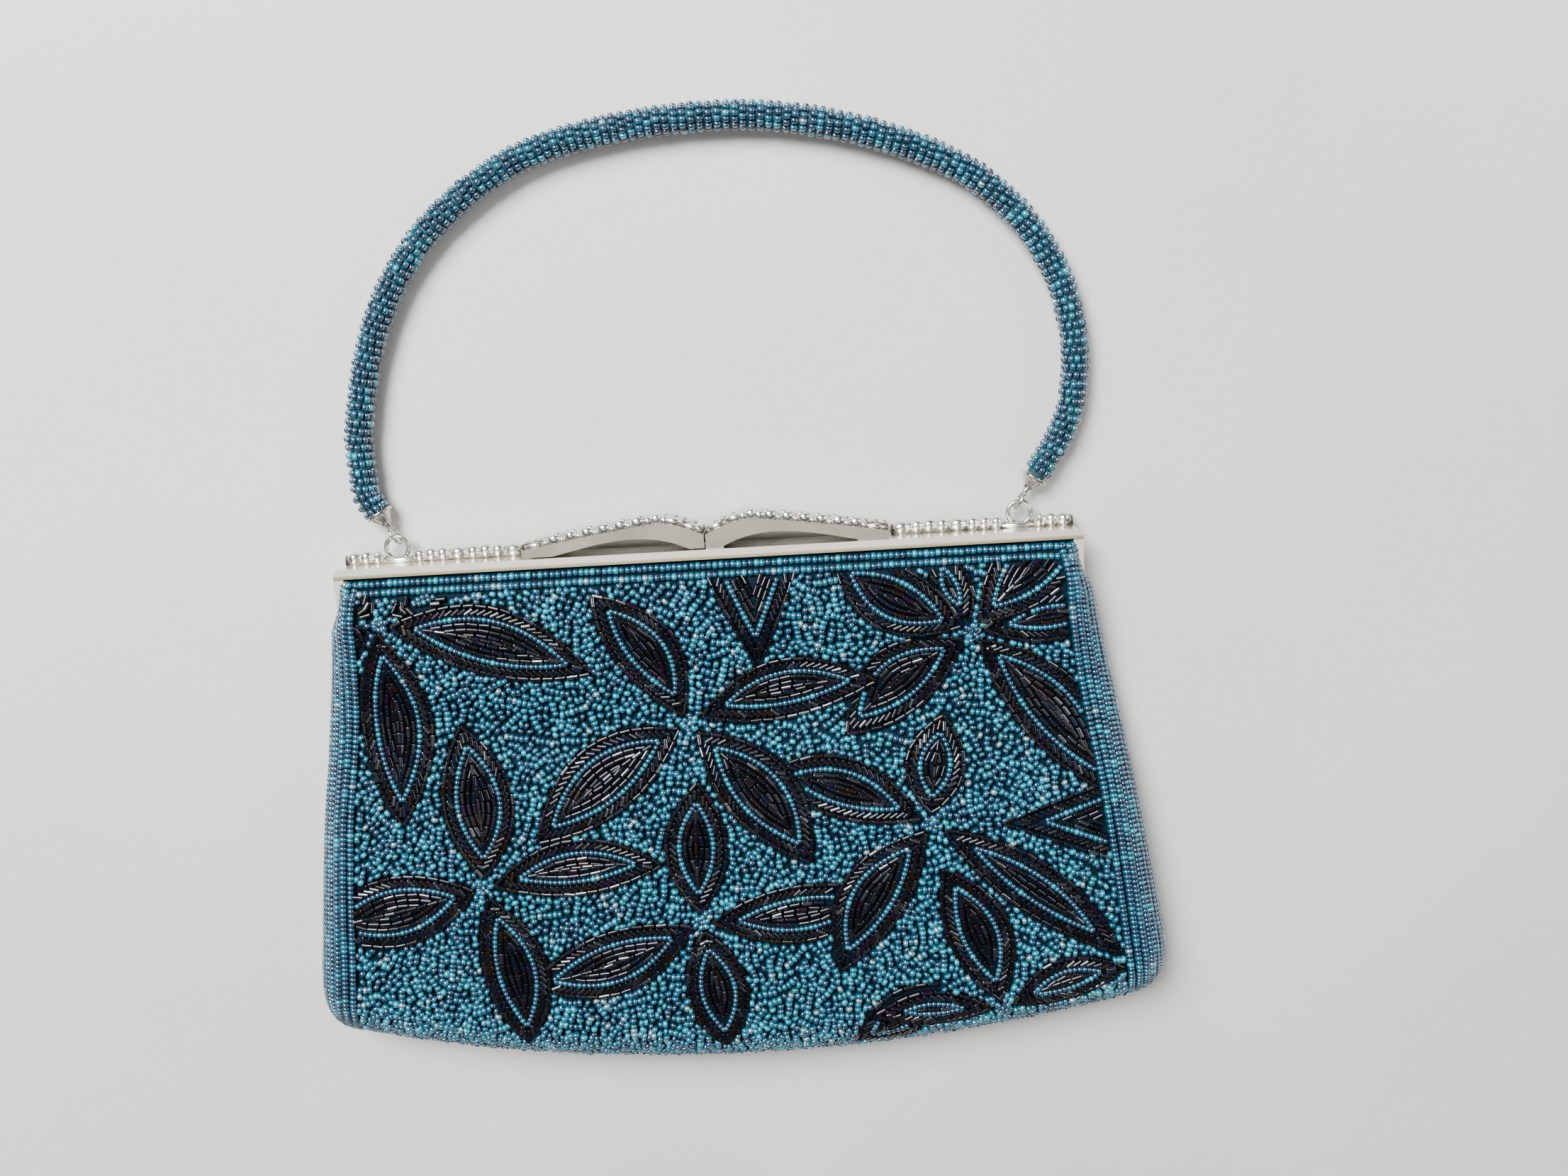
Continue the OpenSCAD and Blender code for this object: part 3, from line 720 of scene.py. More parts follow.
def footprint(angle):
    """The cells that a bead sewn at an angle covers, counted from its own."""
    n = int(PRINT_REACH / CELL)
    g = np.arange(-n, n + 1) * CELL
    gx, gy = np.meshgrid(g, g, indexing="ij")
    along = gx * math.cos(angle) + gy * math.sin(angle)
    over = -gx * math.sin(angle) + gy * math.cos(angle)
    inside = (np.abs(along) / (PRINT_LENGTH / 2)) ** 3 + (np.abs(over) / (PRINT_WIDTH / 2)) ** 3 <= 1
    return np.argwhere(inside) - n


def nearest(values, step, last):
    """Numbers of the table's rows nearest to the values, from 0 to last."""
    return np.clip(np.round(values / step).astype(int), 0, last)


def scatter(face):
    """Random sewn beads in the ground between the motifs: (x, s, angle, lift) on the face."""
    xs, lengths, table = unrolled(face)
    nx, ns = int(2 * HALF_X / CELL), int(DEEP / CELL)
    cell_x = np.arange(nx) * CELL - HALF_X
    rows = nearest(cell_x + HALF_X, X_STEP, len(xs) - 1)
    s_map = table[rows][:, nearest(np.arange(ns) * CELL, RUN_STEP, len(lengths) - 1)]
    x_map = np.broadcast_to(cell_x[:, None], s_map.shape)
    s_safe = np.nan_to_num(s_map, nan=500.0)
    taken = np.isnan(s_map) | (s_safe < FIELD_TOP - 0.2) | (np.abs(x_map) > border(s_safe) + 0.1)
    for petal in PETALS:
        taken |= petal_inside(petal, x_map, -s_safe, -OVERLAP)
    for wedge in WEDGES:
        taken |= wedge_inside(wedge, x_map, -s_safe)
    prints = [footprint(math.pi * k / TURNS) for k in range(TURNS)]
    found = []

    def try_at(px, pl, angle, slack):
        k = int(round(angle / (math.pi / TURNS))) % TURNS
        cells = prints[k] + (int((px + HALF_X) / CELL), int(pl / CELL))
        a, b = cells[:, 0], cells[:, 1]
        if a.min() < 0 or b.min() < 0 or a.max() >= nx or b.max() >= ns:
            return False
        if taken[a, b].mean() > slack:
            return False
        taken[a, b] = True
        return True

    starts = np.argwhere(~taken)
    share = 1.0
    for tries, slack, longest, lift in ROUNDS:
        chosen = starts[rng.integers(0, len(starts), int(tries * share))]
        angles = rng.random(len(chosen)) * math.pi
        jitter = rng.random((len(chosen), 2)) * CELL
        for (a, b), angle, (u, v) in zip(chosen, angles, jitter):
            if taken[a, b]:
                continue
            px, pl = a * CELL - HALF_X + u, b * CELL + v
            if not try_at(px, pl, angle, slack):
                continue
            found.append((px, pl, angle, lift))
            for _ in range(longest - 1):
                px += CHAIN_PITCH * math.cos(angle)
                pl += CHAIN_PITCH * math.sin(angle)
                angle += (rng.random() - 0.5) * CHAIN_BEND
                if not try_at(px, pl, angle, slack):
                    break
                found.append((px, pl, angle, lift))
        starts = np.argwhere(~taken)
    f = np.array(found)
    column = nearest(f[:, 0] + HALF_X, X_STEP, len(xs) - 1)
    along = f[:, 1] / RUN_STEP
    low = np.clip(along.astype(int), 0, len(lengths) - 2)
    s = table[column, low] + (table[column, low + 1] - table[column, low]) * (along - low)
    good = ~np.isnan(s)
    return np.column_stack([f[:, 0], s, -f[:, 2], f[:, 3]])[good]


COLUMNS, COLUMN_PITCH, COLUMN_END, BEAD_PITCH = 14, 2.08, 1.3, 1.24
SEAM_START, SEAM_PITCH, SEAM_RISE, SEAM_DROP = 15, 1.36, 1.25, 0.75


def side_columns(face):
    """Straight columns of beads down both sides, out to the seam: (x, s, next x, next s) for each bead."""
    found = []
    s_line = np.arange(0.8, 124, 0.4)
    outer = outline_x(s_line)
    inner = border(s_line)
    share = np.sin(np.linspace(0, np.pi / 2, 70))
    x = inner[:, None] + (np.maximum(outer - 0.02, inner) - inner)[:, None] * share[None]
    s_all = np.broadcast_to(s_line[:, None], x.shape)
    z = face(x, s_all)
    steps = np.hypot(np.diff(x, axis=1), np.diff(z, axis=1))
    arc = np.concatenate([np.zeros((len(x), 1)), np.cumsum(steps, axis=1)], axis=1)
    above_bottom = s_line < bottom_at(np.minimum(inner, OUT_X[-1])) - 0.6
    for k in range(COLUMNS):
        want = COLUMN_PITCH * (k + 0.5)
        ok = (arc[:, -1] > want + COLUMN_END) & above_bottom
        if ok.sum() < 8:
            continue
        first, last = np.argmax(ok), len(ok) - np.argmax(ok[::-1])
        rows = range(first, last)
        px = np.array([np.interp(want, arc[r], x[r]) for r in rows])
        ps = s_line[first:last]
        pz = face(px, ps)
        run = arc_length(px, ps, pz)
        at = np.arange(0.6, run[-1] - 0.3, BEAD_PITCH)
        for side in (-1, 1):
            shift = at + rng.normal(0, 0.03, len(at))
            found.append(np.column_stack([
                side * np.interp(shift, run, px), np.interp(shift, run, ps),
                side * np.interp(shift + LOOK, run, px), np.interp(shift + LOOK, run, ps)]))
    return np.concatenate(found)


def seam_row(face):
    """The row of beads that covers the seam, down the sides and round the bottom: places, axes and
    outward directions."""
    down = np.linspace(SEAM_START, OUT_S[-1], 300)
    x = np.concatenate([width(down), OUT_X[::-1][1:]])
    s = np.concatenate([down, OUT_S[::-1][1:]])
    x, s = np.concatenate([x, -x[::-1][1:]]), np.concatenate([s, s[::-1][1:]])
    x = x + skew(x, s)
    way = np.stack([np.gradient(x), -np.gradient(s)], -1)
    way /= np.maximum(np.linalg.norm(way, axis=1, keepdims=True), 1e-9)
    out = np.stack([-way[:, 1], way[:, 0]], -1)
    x, y = x - out[:, 0] * BEAD_R, LIP_Y - s - out[:, 1] * BEAD_R
    run = np.concatenate([[0], np.cumsum(np.hypot(np.diff(x), np.diff(y)))])
    at = np.arange(0.7, run[-1] - 0.5, SEAM_PITCH)
    px, py = np.interp(at, run, x), np.interp(at, run, y)
    wx, wy = np.interp(at, run, way[:, 0]), np.interp(at, run, way[:, 1])
    z = np.full(len(at), SEAM_Z + SEAM_RISE if face is front_z else SEAM_Z - SEAM_DROP)
    z = z + rng.normal(0, 0.05, len(at))
    zero = np.zeros(len(at))
    return np.column_stack([px, py, z, wx, wy, zero, -wy, wx, zero])


ROWS_S, ROW_PITCH = (1.15, 3.35), 1.42


def beadwork(face):
    """All the beads of one face of the pouch: its seed beads and its bugles."""
    seeds, bugles = Beads(SEED, TEAL), Beads(BUGLE, JET)

    def on_face(kind, x, s, angle, length, radius, lift, glasses, tilt):
        at, up = place(face, x, s, BEAD_R)
        at = at + up * (np.asarray(lift) + np.asarray(radius) - BEAD_R)[:, None]
        axis = heading(face, x, s, angle, up)
        side = np.cross(up, axis)
        twist = rng.random(len(x)) * 2 * np.pi if kind is bugles else np.zeros(len(x))
        lean = rng.normal(0, tilt, len(x))
        turned = up * np.cos(twist)[:, None] + side * np.sin(twist)[:, None]
        kind.add(at, axis + up * lean[:, None], turned, length, radius, glasses)

    ground = scatter(face)
    n = len(ground)
    on_face(seeds, ground[:, 0], ground[:, 1], ground[:, 2], 1.2 * rng.uniform(0.9, 1.12, n),
            BEAD_R * rng.uniform(0.88, 1.03, n), ground[:, 3], pick(TEAL_SHARE, n), 0.14)

    for s_row in ROWS_S:
        end = outline_x(np.array(s_row))
        x = np.arange(-end + 1.4, end - 1.3, ROW_PITCH)
        n = len(x)
        on_face(seeds, x + rng.normal(0, 0.04, n), np.full(n, s_row) + rng.normal(0, 0.05, n), np.zeros(n),
                1.36, 0.98 * rng.uniform(0.95, 1.03, n), np.zeros(n), pick(TEAL_SHARE, n), 0.05)

    seam = seam_row(face)
    n = len(seam)
    seeds.add(seam[:, 0:3], seam[:, 3:6], seam[:, 6:9], 1.3 * rng.uniform(0.95, 1.04, n),
              BEAD_R * rng.uniform(0.94, 1.0, n), pick(TEAL_SHARE, n))

    c = side_columns(face)
    n = len(c)
    at, up = place(face, c[:, 0], c[:, 1], BEAD_R)
    ahead, _ = place(face, c[:, 2], c[:, 3], BEAD_R)
    axis = ahead - at
    axis /= np.linalg.norm(axis, axis=1, keepdims=True)
    seeds.add(at, axis, up, 1.18 * rng.uniform(0.95, 1.04, n), BEAD_R * rng.uniform(0.94, 1.0, n),
              pick(DEEP_SHARE, n))

    j, t = motif()
    n = len(j)
    on_face(bugles, j[:, 0], -j[:, 1], j[:, 2] + rng.normal(0, 0.05, n), j[:, 3] * rng.uniform(0.93, 1.03, n),
            j[:, 4] * rng.uniform(0.95, 1.04, n), j[:, 5] + 0.25, pick(JET_SHARE, n), 0.03)
    n = len(t)
    on_face(seeds, t[:, 0], -t[:, 1], t[:, 2], t[:, 3], t[:, 4] * rng.uniform(0.9, 1.0, n), t[:, 5] + 0.2,
            pick(DEEP_SHARE, n), 0.1)
    return seeds, bugles


BLEND_BELOW, BLEND_ABOVE, BEAD_MARGIN = 17, 1, 2.5


def settle(piece, slot, body, *nodes):
    """Hides the nodes that a piece stands for, and gives the piece its body. The slot is not used. With None
    the piece gets no body, and its transform is baked into its mesh.
    """
    if nodes:
        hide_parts(*nodes)
    if body:
        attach(piece, body)
    else:
        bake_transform(piece)


def sew_on(beads, name, crossing):
    """Builds gathered beads. On the front face those near the hinge are built apart and left without a body,
    as the cloth under them is.
    """
    data = np.concatenate(beads.rows)
    if crossing:
        near = data[:, 1] > HINGE_Y - BLEND_BELOW - BEAD_MARGIN
        for piece in beads.build(name + "_upper", data[near]):
            settle(piece, "beadwork", None)
        data = data[~near]
        name += "_lower"
    for piece in beads.build(name, data):
        settle(piece, "beadwork", "root")


# ---- handle

ROUTE_INNER = [
    (-83.2, 24.5), (-83.2, 33), (-81.7, 41), (-79.1, 51.1), (-75.5, 60.4), (-69.7, 70.7), (-61.7, 80.3),
    (-49.5, 89.9), (-35.3, 97), (-18.1, 100.9), (0, 102.6), (18.1, 102.3), (35.3, 99.4), (51.6, 94.3),
    (66.3, 87.2), (77.3, 77.8), (84.8, 67.4), (89.2, 57), (91, 46.5), (90.8, 36.5), (88.6, 27),
]
swing = joints["handle_swing"]["pos_m"]
SWING_Y, HANDLE_Z = swing[1] / MM, swing[2] / MM
RING_X = (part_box("frame_ring_right")[0][0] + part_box("frame_ring_right")[1][0]) / 2 / MM
LEAN = {-1: 30.0, 1: 34.0}
CAP_START, CAP_FLARE, CAP_END, CAP_GAP, CAP_GUIDE = 3.6, 6.6, 7.2, 0.05, 5.0
HANDLE_R, CORE_R = 3.6, 2.3


def handle_end(side, reach):
    """A point of the handle's own end, at a reach from the axis that it swings about."""
    lean = math.radians(LEAN[side])
    return (side * (RING_X + reach * math.sin(lean)), SWING_Y + reach * math.cos(lean))


route = np.array(
    [handle_end(-1, CAP_END + CAP_GAP), handle_end(-1, CAP_END + CAP_GUIDE)]
    + [(x, LIP_Y + v) for x, v in ROUTE_INNER]
    + [handle_end(1, CAP_END + CAP_GUIDE), handle_end(1, CAP_END + CAP_GAP)]
)


def curve_points(steps):
    """A smooth line through the route's points."""
    out = []
    last = len(route) - 1
    for k in range(last):
        a, b, c, d = (route[min(max(q, 0), last)] for q in (k - 1, k, k + 1, k + 2))
        for m in range(steps):
            t = m / steps
            out.append(0.5 * (2 * b + (c - a) * t + (2 * a - 5 * b + 4 * c - d) * t * t
                              + (3 * b - a - 3 * c + d) * t ** 3))
    out.append(route[last])
    return np.array(out)


line = curve_points(12)
line_arc = np.concatenate([[0], np.cumsum(np.linalg.norm(np.diff(line, axis=0), axis=1))])
HANDLE_LOOK = 0.4


def line_at(at):
    return np.column_stack([np.interp(at, line_arc, line[:, 0]), np.interp(at, line_arc, line[:, 1])])


def along_handle(at):
    """Points at these lengths along the handle, and its unit directions there."""
    d = line_at(at + HANDLE_LOOK) - line_at(at - HANDLE_LOOK)
    return line_at(at), d / np.linalg.norm(d, axis=1, keepdims=True)


def tube(name, centres, ways, radius, sides, material):
    """A closed round tube at the handle's height."""
    angle = 2 * np.pi * np.arange(sides) / sides
    flat = np.column_stack([-ways[:, 1], ways[:, 0], np.zeros(len(ways))])
    co = (np.column_stack([centres, np.full(len(centres), HANDLE_Z)])[:, None]
          + flat[:, None] * (radius * np.cos(angle))[None, :, None]
          + np.array([0, 0, 1.0]) * (radius * np.sin(angle))[None, :, None])
    rings = len(centres)
    quads = grid_faces(rings, sides, closed=True)
    rim = np.arange(sides)
    loops = np.concatenate([quads.ravel(), rim[::-1], (rings - 1) * sides + rim])
    starts = np.concatenate([np.arange(len(quads)) * 4, len(quads) * 4 + np.array([0, sides])])
    return link_mesh(name, co.reshape(-1, 3), loops, starts, [material])


handle_len = line_arc[-1]
core_at = np.linspace(0, handle_len, 180)
core_p, core_d = along_handle(core_at)
core = tube("handle_rope", core_p, core_d, CORE_R, 16, rope)
settle(core, "rope", "handle", "handle_core")

BEADS_ROUND, ROUND_PITCH, STRUNG_R, STRUNG_LENGTH = 12, 2.02, 0.99, 1.3
strung = Beads(SEED, TEAL)
ring_at = np.arange(0.75, handle_len - 0.5, ROUND_PITCH)
ring_at = ring_at + rng.normal(0, 0.05, len(ring_at))
ring_p, ring_d = along_handle(ring_at)
for p, d in zip(ring_p, ring_d):
    turn_by = rng.random() * 2 * np.pi
    q = turn_by + 2 * np.pi * np.arange(BEADS_ROUND) / BEADS_ROUND + rng.normal(0, 0.03, BEADS_ROUND)
    out = np.column_stack([-d[1] * np.cos(q), d[0] * np.cos(q), np.sin(q)])
    around = np.column_stack([d[1] * np.sin(q), -d[0] * np.sin(q), np.cos(q)])
    radius = STRUNG_R * rng.uniform(0.92, 1.03, BEADS_ROUND)
    reach = HANDLE_R - 1.0 + rng.normal(0, 0.05, BEADS_ROUND)
    centre = np.array([p[0], p[1], HANDLE_Z]) + out * reach[:, None]
    centre[:, :2] += d * rng.normal(0, 0.06, BEADS_ROUND)[:, None]
    strung.add(centre, around, out, STRUNG_LENGTH, radius, pick(DEEP_SHARE, BEADS_ROUND))
handle_pieces = strung.build("handle_beads", np.concatenate(strung.rows))
for piece in handle_pieces:
    settle(piece, "handle_beads", "handle")
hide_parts("handle_beading")

# ---- cloth, linings and pocket


def panel(name, face, inset, top, material, cols=120, rows=90):
    """A sheet that follows a face of the pouch, inset below it."""
    a = np.sin(np.linspace(-np.pi / 2, np.pi / 2, cols))
    down = np.sin(np.linspace(0, np.pi / 2, rows))
    end = bottom(a) - inset
    s = top + (end[None] - top) * down[:, None]
    x = a[None] * (width(s) - inset)
    z = face(x, s, inset)
    co = np.stack([x + skew(x, s), LIP_Y - s, z], -1).reshape(-1, 3)
    quads = grid_faces(rows, cols)
    if face is front_z:
        quads = quads[:, ::-1]
    return quad_mesh(name, co, quads, material)


CLOTH_DEPTH, LINING_DEPTH, CLOTH_TOP, LINING_TOP = 1.75, 2.6, -1.2, -1.0
front_cloth = panel("front_cloth", front_z, CLOTH_DEPTH, CLOTH_TOP, backing)
settle(front_cloth, "beadwork", None, "front_panel", "front_panel_top")

back_cloth = panel("back_cloth", back_z, CLOTH_DEPTH, CLOTH_TOP, backing)
settle(back_cloth, "beadwork", "root", "back_panel", "back_panel_top")

front_lining = panel("front_satin_lining", front_z, LINING_DEPTH, LINING_TOP, satin, 90, 70)
settle(front_lining, "satin", None, "front_lining")

back_lining = panel("back_satin_lining", back_z, LINING_DEPTH, LINING_TOP, satin, 90, 70)
settle(back_lining, "satin", "root", "back_lining")

POCKET_BULGE, POCKET_RIPPLE, POCKET_COLS, POCKET_ROWS = 0.9, 0.12, 60, 40
pocket_low, pocket_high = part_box("slip_pocket")
px0, py0, pz0 = (v / MM for v in pocket_low)
px1, py1 = pocket_high[0] / MM, pocket_high[1] / MM
gx, gy = np.meshgrid(np.linspace(px0, px1, POCKET_COLS), np.linspace(py1, py0, POCKET_ROWS))
u, v = (gx - px0) / (px1 - px0), (py1 - gy) / (py1 - py0)
gz = pz0 + 0.5 + POCKET_BULGE * np.sin(np.pi * u) * (1 - v) ** 0.6 + POCKET_RIPPLE * np.sin(16 * u) * (1 - v)
pocket = quad_mesh("slip_pocket_satin", np.stack([gx, gy, gz], -1).reshape(-1, 3),
                   grid_faces(POCKET_ROWS, POCKET_COLS)[:, ::-1], satin)
settle(pocket, "satin", "root", "slip_pocket")

# ---- beadwork on both faces

for word, face, crossing in (("front", front_z, True), ("back", back_z, False)):
    face_seeds, face_bugles = beadwork(face)
    sew_on(face_seeds, f"{word}_seed_beads", crossing)
    sew_on(face_bugles, f"{word}_bugle_beads", crossing)

# ---- metal


EDGE_R, EDGE_SEGMENTS, EDGE_ANGLE = 0.34, 3, 35


def finish_node(node, material):
    """Gives a CAD solid its material, and returns its object."""
    obj = frame["nodes"][node]
    obj.data.materials.clear()
    obj.data.materials.append(material)
    return obj


for node in ("back_frame", "front_frame", "clasp_wing_left", "clasp_wing_right"):
    softened = finish_node(node, shaded_wing_silver if "wing" in node else silver).modifiers.new("edge", "BEVEL")
    softened.width = EDGE_R * MM
    softened.segments = EDGE_SEGMENTS
    softened.limit_method = "ANGLE"
    softened.angle_limit = math.radians(EDGE_ANGLE)
for kind in ("ring_boss", "frame_ring", "eye_pin"):
    finish_node(kind + "_left", ring_metal)
    finish_node(kind + "_right", ring_metal)
for node in ("hinge_rivet_left", "hinge_rivet_right"):
    finish_node(node, rivet_metal)
for node in ("back_channel_cord", "front_channel_cord"):
    finish_node(node, kraft)


class Relief:
    """Cast work gathered into one mesh: bright lumps and leaves on a dark bed, tarnished and with painted
    shade for the recesses between them.
    """

    def __init__(self):
        self.co, self.faces, self.shades, self.count = [], [], [], 0

    def lump(self, centre, size, slope=0.0, crease=0.0, point=0.0, nu=16, nv=12):
        """An ellipsoid, its long axis turned by slope in the XY plane. A leaf has a point and a crease."""
        u = 2 * np.pi * np.arange(nu) / nu
        v = np.linspace(-np.pi / 2, np.pi / 2, nv)
        vv, uu = np.meshgrid(v, u, indexing="ij")
        along = np.sin(vv)
        thick = np.maximum(np.cos(vv), 0) ** 0.65 * (1 - point * np.abs(along) ** 1.5)
        y, z = (thick * np.sign(w) * np.abs(w) ** 0.8 for w in (np.cos(uu), np.sin(uu)))
        dent = 1 - crease * np.exp(-(((np.mod(uu + np.pi, 2 * np.pi) - np.pi) / 0.35) ** 2))
        y, z = y * dent, z * dent
        p = np.stack([along * size[0], y * size[1], z * size[2]], -1).reshape(-1, 3)
        c, s = math.cos(slope), math.sin(slope)
        p = np.column_stack([p[:, 0] * c - p[:, 1] * s, p[:, 0] * s + p[:, 1] * c, p[:, 2]]) + centre
        self.co.append(p)
        self.faces.append(grid_faces(nv, nu, self.count, closed=True))
        self.shades.append(np.zeros(len(self.faces[-1])))
        self.count += len(p)

    def bed(self, xs, low, high, z0, z1):
        """A strip between two edges, with a thickness along Z. It takes the bed's dark colour: tarnish and
        painted shade.
        """
        n = len(xs)
        ring = np.stack([
            np.column_stack([xs, low, np.full(n, z0)]), np.column_stack([xs, high, np.full(n, z0 + 0.3)]),
            np.column_stack([xs, high, np.full(n, z1 - 0.3)]), np.column_stack([xs, low, np.full(n, z1)])], 1)
        self.co.append(ring.reshape(-1, 3))
        self.faces.append(grid_faces(n, 4, self.count, closed=True))
        last = 4 * (n - 1)
        self.faces.append(self.count + np.array([[3, 2, 1, 0], [last, last + 1, last + 2, last + 3]]))
        self.shades.append(np.ones(4 * (n - 1) + 2))
        self.count += 4 * n

    def build(self, name, side):
        """The mesh, mirrored for the left side."""
        co = np.concatenate(self.co) * (side, 1, 1)
        quads = np.concatenate(self.faces)
        if side < 0:
            quads = quads[:, ::-1]
        starts = np.arange(len(quads)) * 4
        return link_mesh(name, co, quads.ravel(), starts, [cast, bed_oxide_and_shade], np.concatenate(self.shades))


TOP_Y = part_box("front_frame")[1][1] / MM
WING_LEN, WING_H, WING_PEAK, WING_LIFT = 44.6, 6.6, 11.5, 0.3
WING_BACK, WING_FRONT = 1.6, 10.9
BEAD_ROW, SCROLL_PITCH = 19, 4.1


def wing_top(u):
    """Height of a wing's edge over the rail, at u from the middle of the frame."""
    inner = 3.2 + (WING_H - 3.2) * np.sin(np.pi / 2 * u / WING_PEAK)
    outer = 1.8 + (WING_H - 1.8) * (1 - np.clip((u - WING_PEAK) / (WING_LEN - WING_PEAK), 0, 1) ** 1.15)
    return np.where(u < WING_PEAK, inner, outer)


def wing_relief(side, name):
    """A wing's ornament: leaves at both ends, a knot over the peak, scrolls, and rows of beads on top."""
    r = Relief()
    xs = np.linspace(0.35, WING_LEN - 0.2, 60)
    top = TOP_Y + WING_LIFT + wing_top(xs)
    r.bed(xs, top - 0.15, top + 1.25, WING_BACK + 0.7, WING_FRONT - 0.6)
    wobble = np.random.default_rng(5 if side < 0 else 6)

    def at(u, rise, z):
        return np.array([u, TOP_Y + WING_LIFT + float(wing_top(np.array(u))) + rise, z])

    def slope(u):
        return math.atan(float(wing_top(np.array(u + 0.4)) - wing_top(np.array(u - 0.4))) / 0.8)

    mid = (WING_BACK + WING_FRONT) / 2
    r.lump(at(3.0, 0.55, WING_FRONT - 1.6), (2.7, 1.0, 1.5), slope(3.0), 0.3, 0.45)
    r.lump(at(7.4, 0.7, WING_FRONT - 1.5), (2.6, 1.15, 1.6), slope(7.4), 0.3, 0.4)
    knot = ((-1.9, 0.7, 1.25), (0.0, 1.0, 1.5), (2.0, 0.75, 1.35), (0.9, 1.3, 0.9), (-1.0, 1.35, 0.8))
    for du, rise, size in knot:
        u = WING_PEAK + du
        r.lump(at(u, rise, WING_FRONT - 1.5), (size, size * 0.95, 1.6), slope(u), 0.15, 0.1)
    scroll = ((-0.8, 1.7, 1.7, (0.95, 0.85, 1.2), 0.1), (0.85, 1.6, 1.6, (0.9, 0.8, 1.2), 0.1),
              (0.1, 0.7, 0.9, (0.8, 0.75, 0.9), 0.1), (2.05, 0.5, 1.2, (0.8, 0.95, 1.2), 0.0))
    u = WING_PEAK + 4.6
    while u < WING_LEN - 6:
        size = 1.8 * wobble.uniform(0.93, 1.07)
        r.lump(at(u, 1.0, WING_FRONT - 1.4), (size, size * 0.8, 1.7), slope(u), 0.3, 0.2)
        for du, rise, deep, lobe, point in scroll:
            r.lump(at(u + du, rise, WING_FRONT - deep), lobe, slope(u), 0.0, point, 12, 8)
        u += SCROLL_PITCH
    r.lump(at(WING_LEN - 3.2, 0.45, WING_FRONT - 1.5), (2.9, 0.95, 1.5), slope(WING_LEN - 3.2), 0.3, 0.5)
    for z, size in ((WING_FRONT - 3.6, 1.15), (mid - 0.4, 1.1), (WING_BACK + 1.9, 1.15)):
        for q in range(BEAD_ROW):
            u = 1.6 + (WING_LEN - 3.4) * q / (BEAD_ROW - 1)
            crease = 0.2 if q % 2 else 0.0
            r.lump(at(u, 0.5 + 0.25 * (q % 2), z), (size, size * 0.9, 1.25), slope(u), crease, 0.2, 12, 8)
    return r.build(name, side)


# Chunks of an end strip: what each is, its distance from the middle, its size and its rise
END_PLAN = [
    ("leaf", 47.9, 2.4, 1.1), ("bead", 51.7, 1.5, 1.25), ("bead", 54.8, 1.55, 1.35),
    ("bead", 57.9, 1.5, 1.25), ("leaf", 61.7, 2.3, 1.2), ("bead", 65.4, 1.45, 1.2),
    ("bead", 68.3, 1.45, 1.2), ("bead", 71.2, 1.4, 1.1), ("leaf", 76.2, 4.2, 1.0),
    ("bead", 81.7, 1.4, 1.15), ("bead", 84.6, 1.45, 1.2), ("leaf", 87.6, 1.9, 1.1),
]
END_X, RING_SPREAD, RING_REACH, RING_DIP = 89.8, 4.6, 5, 1.3


def end_relief(side, name, node):
    """The ornament on one end of the rail, lower where the ring stands."""
    low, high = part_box(node)
    z0, z1 = low[2] / MM, high[2] / MM
    r = Relief()
    xs = np.linspace(WING_LEN + 0.9, END_X, 40)
    dip = RING_DIP * np.exp(-((xs - RING_X) / RING_SPREAD) ** 4)
    r.bed(xs, np.full(40, TOP_Y - 0.05), TOP_Y + 2.2 - dip, z0, z1 - 0.6)
    z = z1 - 1.4
    for kind, x, size, rise in END_PLAN:
        leaf, near_ring = kind == "leaf", abs(x - RING_X) < RING_REACH
        y = TOP_Y + rise + (-0.3 if near_ring else 0.35)
        r.lump(np.array([x, y, z]), (size * 1.05, 0.95 if near_ring else 1.75, 1.5), 0.0,
               0.3 if leaf else 0.15, 0.45 if leaf else 0.1)
        if not leaf:
            r.lump(np.array([x + 1.25, TOP_Y + 1.7, z - 0.2]), (0.7, 0.8, 0.9), 0.0, 0.0, 0.0, 10, 7)
            r.lump(np.array([x + 0.1, TOP_Y + 2.4, z - 0.3]), (0.75, 0.65, 0.9), 0.0, 0.0, 0.0, 10, 7)
            r.lump(np.array([x, TOP_Y + 0.9, z0 + 1.35]), (1.2, 1.3, 1.3), 0.0, 0.0, 0.1, 12, 8)
    return r.build(name, side)


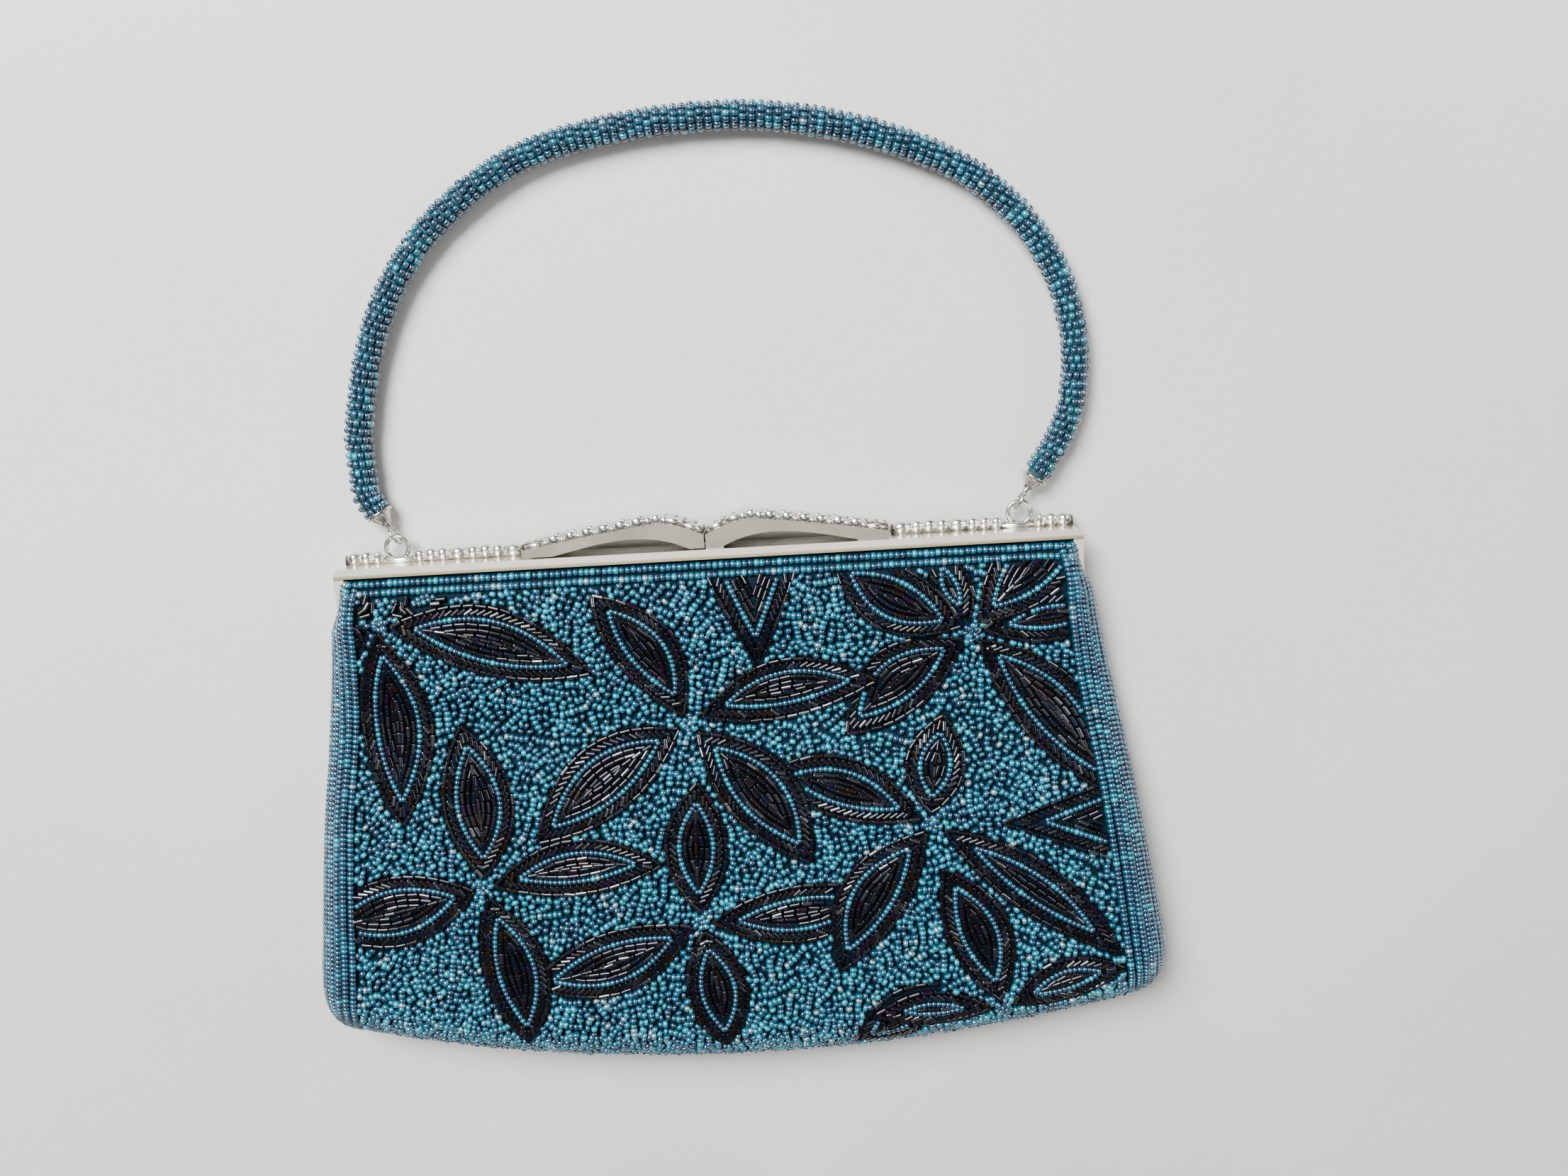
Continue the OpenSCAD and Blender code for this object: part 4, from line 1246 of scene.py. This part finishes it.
for side, word in ((-1, "left"), (1, "right")):
    wing = wing_relief(side, f"wing_relief_{word}")
    settle(wing, "ornament_metal", "root" if side < 0 else "front_half", f"wing_ornament_{word}")
    strip = end_relief(side, f"end_relief_{word}", f"end_ornament_{word}")
    settle(strip, "ornament_metal", "root", f"end_ornament_{word}")


# Profile of an end cap: radius, and distance from the axis that the handle swings about
CAP_PROFILE = [
    (0.7, CAP_START), (1.25, CAP_START), (1.45, CAP_START + 0.25), (1.35, CAP_START + 0.55),
    (1.6, CAP_START + 0.9), (2.1, CAP_START + 1.5), (2.7, CAP_FLARE - 0.7), (3.1, CAP_FLARE - 0.35),
    (3.42, CAP_FLARE - 0.2), (3.5, CAP_FLARE + 0.1), (3.42, CAP_FLARE + 0.35), (3.2, CAP_END), (0.7, CAP_END),
]
CAP_SIDES = 48


def cap(side, name):
    """A turned end cap with a rolled rim, round the handle's own end."""
    angle = 2 * np.pi * np.arange(CAP_SIDES) / CAP_SIDES
    co = np.array([(r * math.cos(q), y, r * math.sin(q)) for r, y in CAP_PROFILE for q in angle])
    lean = math.radians(LEAN[side])
    c, s = math.cos(lean), math.sin(lean)
    x = co[:, 0] * c + co[:, 1] * s
    y = -co[:, 0] * s + co[:, 1] * c
    co = np.column_stack([side * (RING_X + x), SWING_Y + y, HANDLE_Z + co[:, 2]])
    first = np.arange(CAP_SIDES)
    following = (first + 1) % CAP_SIDES
    last = (len(CAP_PROFILE) - 1) * CAP_SIDES
    closing = np.column_stack([last + first, last + following, following, first])
    quads = np.concatenate([grid_faces(len(CAP_PROFILE), CAP_SIDES, closed=True), closing])
    if side > 0:
        quads = quads[:, ::-1]
    return quad_mesh(name, co, quads, ring_metal)


for side, word in ((-1, "left"), (1, "right")):
    piece = cap(side, f"handle_cap_{word}")
    settle(piece, "ring_metal", "handle", f"end_cap_{word}")

# ---- floor

FLOOR_HALF, FLOOR_Z = 3000.0, -0.4
corners = [(x * FLOOR_HALF, y * FLOOR_HALF, FLOOR_Z) for x, y in ((-1, -1), (1, -1), (1, 1), (-1, 1))]
floor = quad_mesh("floor", np.array(corners), np.array([[0, 1, 2, 3]]), paper, False)
